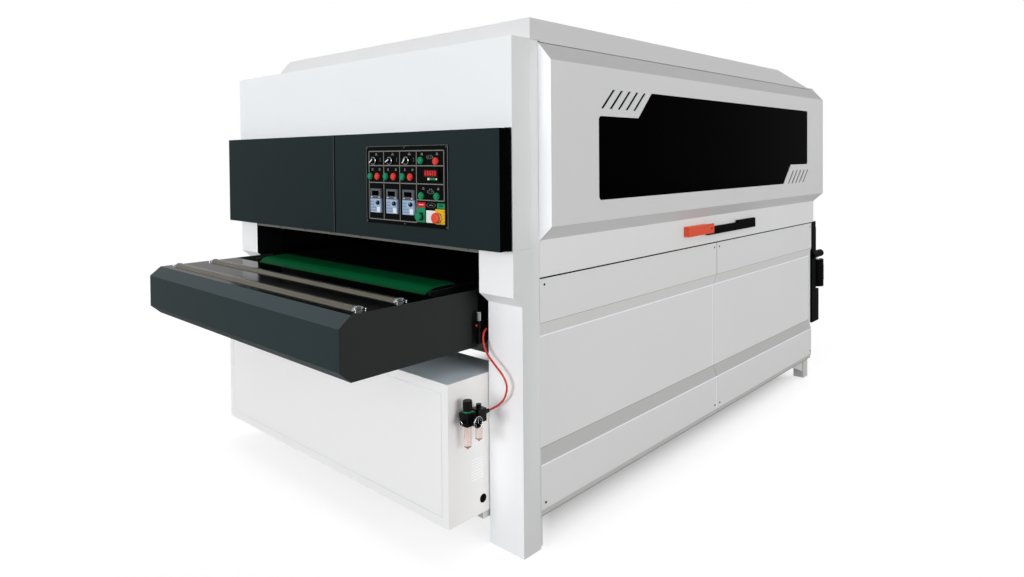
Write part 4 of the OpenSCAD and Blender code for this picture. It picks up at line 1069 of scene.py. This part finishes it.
middle = display["middle"]
screen = shifted(display["screen"], *middle)
panelMarks("heightScreen", screen, "key", display["screenThick"], "screenRed")
bars = []
for index, digit in enumerate(display["reading"]):
    start = middle[0] + display["first"] + index * display["step"]
    grown = [[edge * display["grow"] for edge in segments[part]] for part in digits[digit]]
    bars += shifted(grown, start, middle[1] + display["low"])
panelMarks("heightDigits", bars, "screen", panel["labelPrint"], "digitRed")
for name, finish in (("Pale", "keyWhite"), ("Green", "signalGreen")):
    panelMarks("heightKeys" + name, shifted(display["keys" + name], *middle), "key", display["keyThick"],
               finish, display["keyBevel"])

# marks, layer, thickness, finish and any bevel of what lies round the start and stop mushrooms
stopPlates = {
    "startPlate": ([(601, 1262, 613, 1322), (635, 1262, 650, 1322), (613, 1262, 635, 1270),
                    (613, 1302, 635, 1322)], "plate", 0.0012, "signalGreen", 0.0003),
    "stopPlateWhite": ([(656, 1263, 711, 1312)], "plate", 0.0009, "keyWhite"),
    "stopPlateYellow": ([(745, 1260, 768, 1319)], "plate", 0.0011, "signalYellow"),
    "stopPlateEdge": ([(711, 1301, 745, 1319), (711, 1260, 745, 1270)], "plate", 0.0009, "signalYellow"),
    "stopPlateTeeth": ([(762, 1308, 768, 1312), (764, 1294, 768, 1297), (764, 1282, 768, 1285),
                        (762, 1268, 768, 1271), (742, 1262, 754, 1264.5)], "stopPlate", 0.0004, "labelRed"),
    "runLabel": ([(602, 1323.5, 651, 1343)], "plate", 0.0008, "labelRed"),
    "runLabelWriting": (smallWriting(626, 1333.5, [(8, 1.5, 6, 1.5, 9)]), "label", 0.0004, "keyWhite"),
    "resetLabel": ([(723, 1321.5, 768, 1342)], "plate", 0.0008, "signalGreen"),
    "resetLabelWriting": (smallWriting(745, 1336, [(7, 1.5, 5, 1.5, 6), (4, 2, 5, 1.5, 7)]), "label", 0.0004,
                          "panelBlack"),
}
ringThick = 0.0022
collars = {     # shares of the plate, how far it stands out, radius and finish
    "startCollar": (0.694, 0.133, 0.0035, 0.0125, "machineBlack"),
    "stopCollar": (0.889, 0.13, 0.0035, 0.0165, "keyWhite"),
}


# a round ring on the control plate
def panelRing(name, shareX, shareZ, proud, radius, finish):
    centre = (plateX(shareX) * mm, panelFace - proud, plateZ(shareZ) * mm)
    return ringPiece(name, centre, "y", (radius, radius), ringThick, finish, doorBody)


for name, look in stopPlates.items():
    panelMarks(name, *look)
for name, look in collars.items():
    panelRing(name, *look)

selector = {
    "height": 0.81,
    "leans": (34, 26, 50),      # degrees of each pointer
    "ring": {"proud": 0.0064, "radius": 0.0152},
    "pointer": {"size": (0.024, 0.0012, 0.0052), "bevel": 0.0005, "proud": 0.0198},
}

rings = []
pointer = selector["pointer"]
for number, (share, lean) in enumerate(zip(panel["selectors"], selector["leans"]), 1):
    refine(f"selector_knob_{number}", "blackPlastic", bevel=0.001)
    rings.append(panelRing("ring", share, selector["height"], finish="brightSteel", **selector["ring"]))
    lever = roundedBlock((0, 0, 0), pointer["size"], pointer["bevel"])
    lever.rotation_euler = (0, -math.radians(lean), 0)
    lever.location = (plateX(share) * mm, panelFace - pointer["proud"], plateZ(selector["height"]) * mm)
    settle(lever, f"selectorPointer{number}", f"selector_{number}", "keyWhite")
joinPieces("selectorRings", rings)

print("stage: lip and small parts of the front")
lip = {
    "screws": 8, "first": -0.86, "step": 0.24, "y": benchY - 0.0495, "z": 1.163,
    "screw": {"radius": 0.0035, "length": 0.0015, "bevel": 0.0004, "segments": 1, "sides": 16},
}
boxSide = {
    "x": 0.8771,
    "grommet": {"start": (0.8771, benchY - 0.035, 0.19), "axis": "x", "radius": 0.017, "length": 0.002,
                "bevel": 0.0008},
    # each vent's front, rear, thickness, height in millimetres, and bevel
    "vent": (benchY - 0.098, benchY - 0.034, 0.0012, 4, 0.0008),
    "ventLows": range(276, 356, 11),
}
joinPieces("lipScrews", [
    rodPiece("lipScrew", (lip["first"] + step * lip["step"], lip["y"], lip["z"]), "y",
             finish="machineBlack", **lip["screw"]) for step in range(lip["screws"])])
rodPiece("cableGrommet", finish="rubberBlack", **boxSide["grommet"])
front, rear, thick, high, bevel = boxSide["vent"]
joinPieces("boxSideVents", [
    blockPiece("vent", (boxSide["x"], front, low * mm), (boxSide["x"] + thick, rear, (low + high) * mm),
               "machine", "boxPaint", bevel) for low in boxSide["ventLows"]])

print("stage: air unit, valve and hose fittings")
air = {
    "x": 0.925,
    "knob": {"y": benchY - 0.1595, "radius": 0.0168, "low": 0.586, "ribs": 18},
    "rib": {"radius": 0.0014, "length": 0.028, "bevel": 0.0004, "segments": 1, "sides": 8},
    "gauge": {"face": 0.964, "y": benchY - 0.142, "z": 0.540, "radius": 0.0212, "rim": 0.0019,
              "faceRadius": 0.0204, "faceThick": 0.0006,
              "marks": 9, "markRadius": 0.0142, "mark": 0.0011, "from": -45, "sweep": 270,
              "markFrom": 0.0005, "markTo": 0.0009, "needle": ((-0.0008, -0.003), (0.0008, 0.009), 0.001)},
    "band": {"z": (0.5765, 0.5805), "before": benchY - 0.135},      # the green band of the filter
    "inlet": {"centre": (0.925, benchY - 0.1945, 0.542), "radii": (0.0075, 0.0075), "thick": 0.0018},
}
# start, axis, radius, length, finish and what else is said of each turned piece
fittings = {
    "hoseNut": ((0.925, benchY - 0.0582, 0.551), "y", 0.0085, 0.010, "machineBlack",
                {"segments": 1, "sides": 6, "smooth": 20}),
    "bowlFoot1": ((0.925, benchY - 0.1595, 0.436), "z", 0.004, 0.007, "hoseRed", {}),
    "bowlFoot2": ((0.925, benchY - 0.1015, 0.449), "z", 0.004, 0.007, "hoseRed", {}),
    "valveSpool": ((0.848, benchY - 0.020, 0.8801), "z", 0.0102, 0.0348, "brightSteel", {}),
    "valvePortDot": ((0.848, benchY - 0.0352, 0.863), "y", 0.0045, 0.0012, "latchRed", {"bevel": 0.0004}),
}
band = air["band"]
repaint(refine("air_unit", "machineBlack", bevel=0.002), "signalGreen",
        lambda centre, facing: within(centre.z, band["z"]) and centre.y < band["before"])
refine("air_bowls", "clearBowl", bevel=0.005, segments=4)
refine("regulator_knob", "blackPlastic", bevel=0.0015)
refine("air_valve", "machineBlack")

knob = air["knob"]
ribs = []
for step in range(knob["ribs"]):
    turn = step * math.tau / knob["ribs"]
    x, y = air["x"] + knob["radius"] * math.cos(turn), knob["y"] + knob["radius"] * math.sin(turn)
    ribs.append(rodPiece("rib", (x, y, knob["low"]), "z", finish="blackPlastic", body="regulator_knob",
                         **air["rib"]))
joinPieces("regulatorKnobRibs", ribs)
gauge = air["gauge"]
dial = (gauge["face"], gauge["y"], gauge["z"])


# a raised block on the gauge's face, by its distances from the dial's middle
def gaugeMark(low, high, reach):
    offsets = ((gauge["markFrom"], *low), (reach, *high))
    corners = [[a + b for a, b in zip(dial, offset)] for offset in offsets]
    return blockPiece("mark", *corners, "machine", "keyWhite", 0)


radius, half = gauge["radius"], gauge["mark"]
rodPiece("gaugeFace", dial, "x", gauge["faceRadius"], gauge["faceThick"], "paneBlack", bevel=0)
ringPiece("gaugeRim", dial, "x", (radius, radius), gauge["rim"], "brightSteel")
marks = []
for step in range(gauge["marks"]):
    turn = math.radians(gauge["from"] + step * gauge["sweep"] / (gauge["marks"] - 1))
    y, z = gauge["markRadius"] * math.cos(turn), gauge["markRadius"] * math.sin(turn)
    marks.append(gaugeMark((y - half, z - half), (y + half, z + half), gauge["markTo"]))
marks.append(gaugeMark(*gauge["needle"]))
joinPieces("gaugeMarks", marks)
ringPiece("inletRing", axis="y", **air["inlet"], finish="brightSteel")
for name, (*look, more) in fittings.items():
    rodPiece(name, *look, **more)

print("stage: latch")
refine("latch_body", "latchRed", bevel=0.004, segments=3)
refine("latch_lever", "rubberBlack", bevel=0.005, segments=4)
leverDot = {"start": (1.072, benchY + 2.0205, 1.130), "axis": "y", "radius": 0.006, "length": 0.005,
            "bevel": 0.002}
rodPiece("leverEndDot", finish="labelRed", body="latch", **leverDot)

print("stage: belt drive")
refine("conveyor_gearmotor", "driveBlack", bevel=0.003)
refine("panel_screws", "machineBlack", bevel=0.0008)
drive = {
    "x": 0.986, "y": benchY + 3.262, "top": 0.765,
    "ribs": {"count": 7, "low": 0.622, "step": 0.016},
    "rib": {"radius": 0.058, "length": 0.005, "finish": "driveBlack", "body": "bed"},
    "cap": {"radius": 0.034, "length": 0.004, "finish": "brightSteel", "body": "bed"},
    "crank": {"centre": (1.016, benchY + 3.2755, 0.810), "radii": (0.021, 0.021), "thick": 0.003},
}
ribs = drive["ribs"]
joinPieces("driveMotorRibs", [
    rodPiece("rib", (drive["x"], drive["y"], ribs["low"] + step * ribs["step"]), "z", **drive["rib"])
    for step in range(ribs["count"])])
rodPiece("driveMotorCap", (drive["x"], drive["y"], drive["top"]), "z", **drive["cap"])
ringPiece("crankRing", axis="y", **drive["crank"], finish="brightSteel", body="bed")

print("stage: floor")
ground = {
    "size": 60,
    "grey": 0.5,
    "lift": 0.74,       # what the camera sees of the floor above its own light
    "white": {"half": (2.6, 3.4), "from": 0.75, "to": 1.25},    # where the floor turns plain white
    # the lift is left out under the body: its middle, and how far from it the lift begins and is full
    "beside": {"middle": 0, "from": 0.75, "to": 1.08},
    "past": {"middle": 0.18, "from": 1.0, "to": 1.42},
}


def makeFloor():
    deselectAll()
    bpy.ops.mesh.primitive_plane_add(size=ground["size"], location=(0, 0, 0))
    floor = bpy.context.object
    floor.name = "studioFloor"
    tree, look = newMaterial("studioFloor", specular=0.05)
    seen = addNode(tree, "LightPath").outputs["Is Camera Ray"]
    place = objectPlace(tree)
    parted = splitNode(tree, place)
    clear = [softStep(tree, farFrom(tree, parted[axis], edge["middle"]), edge["from"], edge["to"])
             for axis, edge in (("X", ground["beside"]), ("Y", ground["past"]))]
    lift = mathNode(tree, "MULTIPLY", seen, ground["lift"])
    feedAll(tree, look, Base_Color=grey(ground["grey"]), Roughness=0.9, Emission_Color=grey(1),
            Emission_Strength=mathNode(tree, "MULTIPLY", lift, mathNode(tree, "MAXIMUM", *clear)))
    white = ground["white"]
    squashed = vectorNode(tree, "DIVIDE", {0: place, 1: (*white["half"], 1)})[0]
    distance = vectorNode(tree, "LENGTH", {0: squashed})["Value"]
    fade = softStep(tree, distance, white["from"], white["to"])
    plainWhite = addNode(tree, "Emission").outputs[0]
    shader = tree.nodes["Principled BSDF"].outputs[0]
    blend = mixShaders(tree, mathNode(tree, "MULTIPLY", fade, seen), shader, plainWhite)
    feed(tree, tree.nodes["Material Output"].inputs["Surface"], blend)
    floor.data.materials.append(finishes["studioFloor"])


makeFloor()

print("stage: finish")
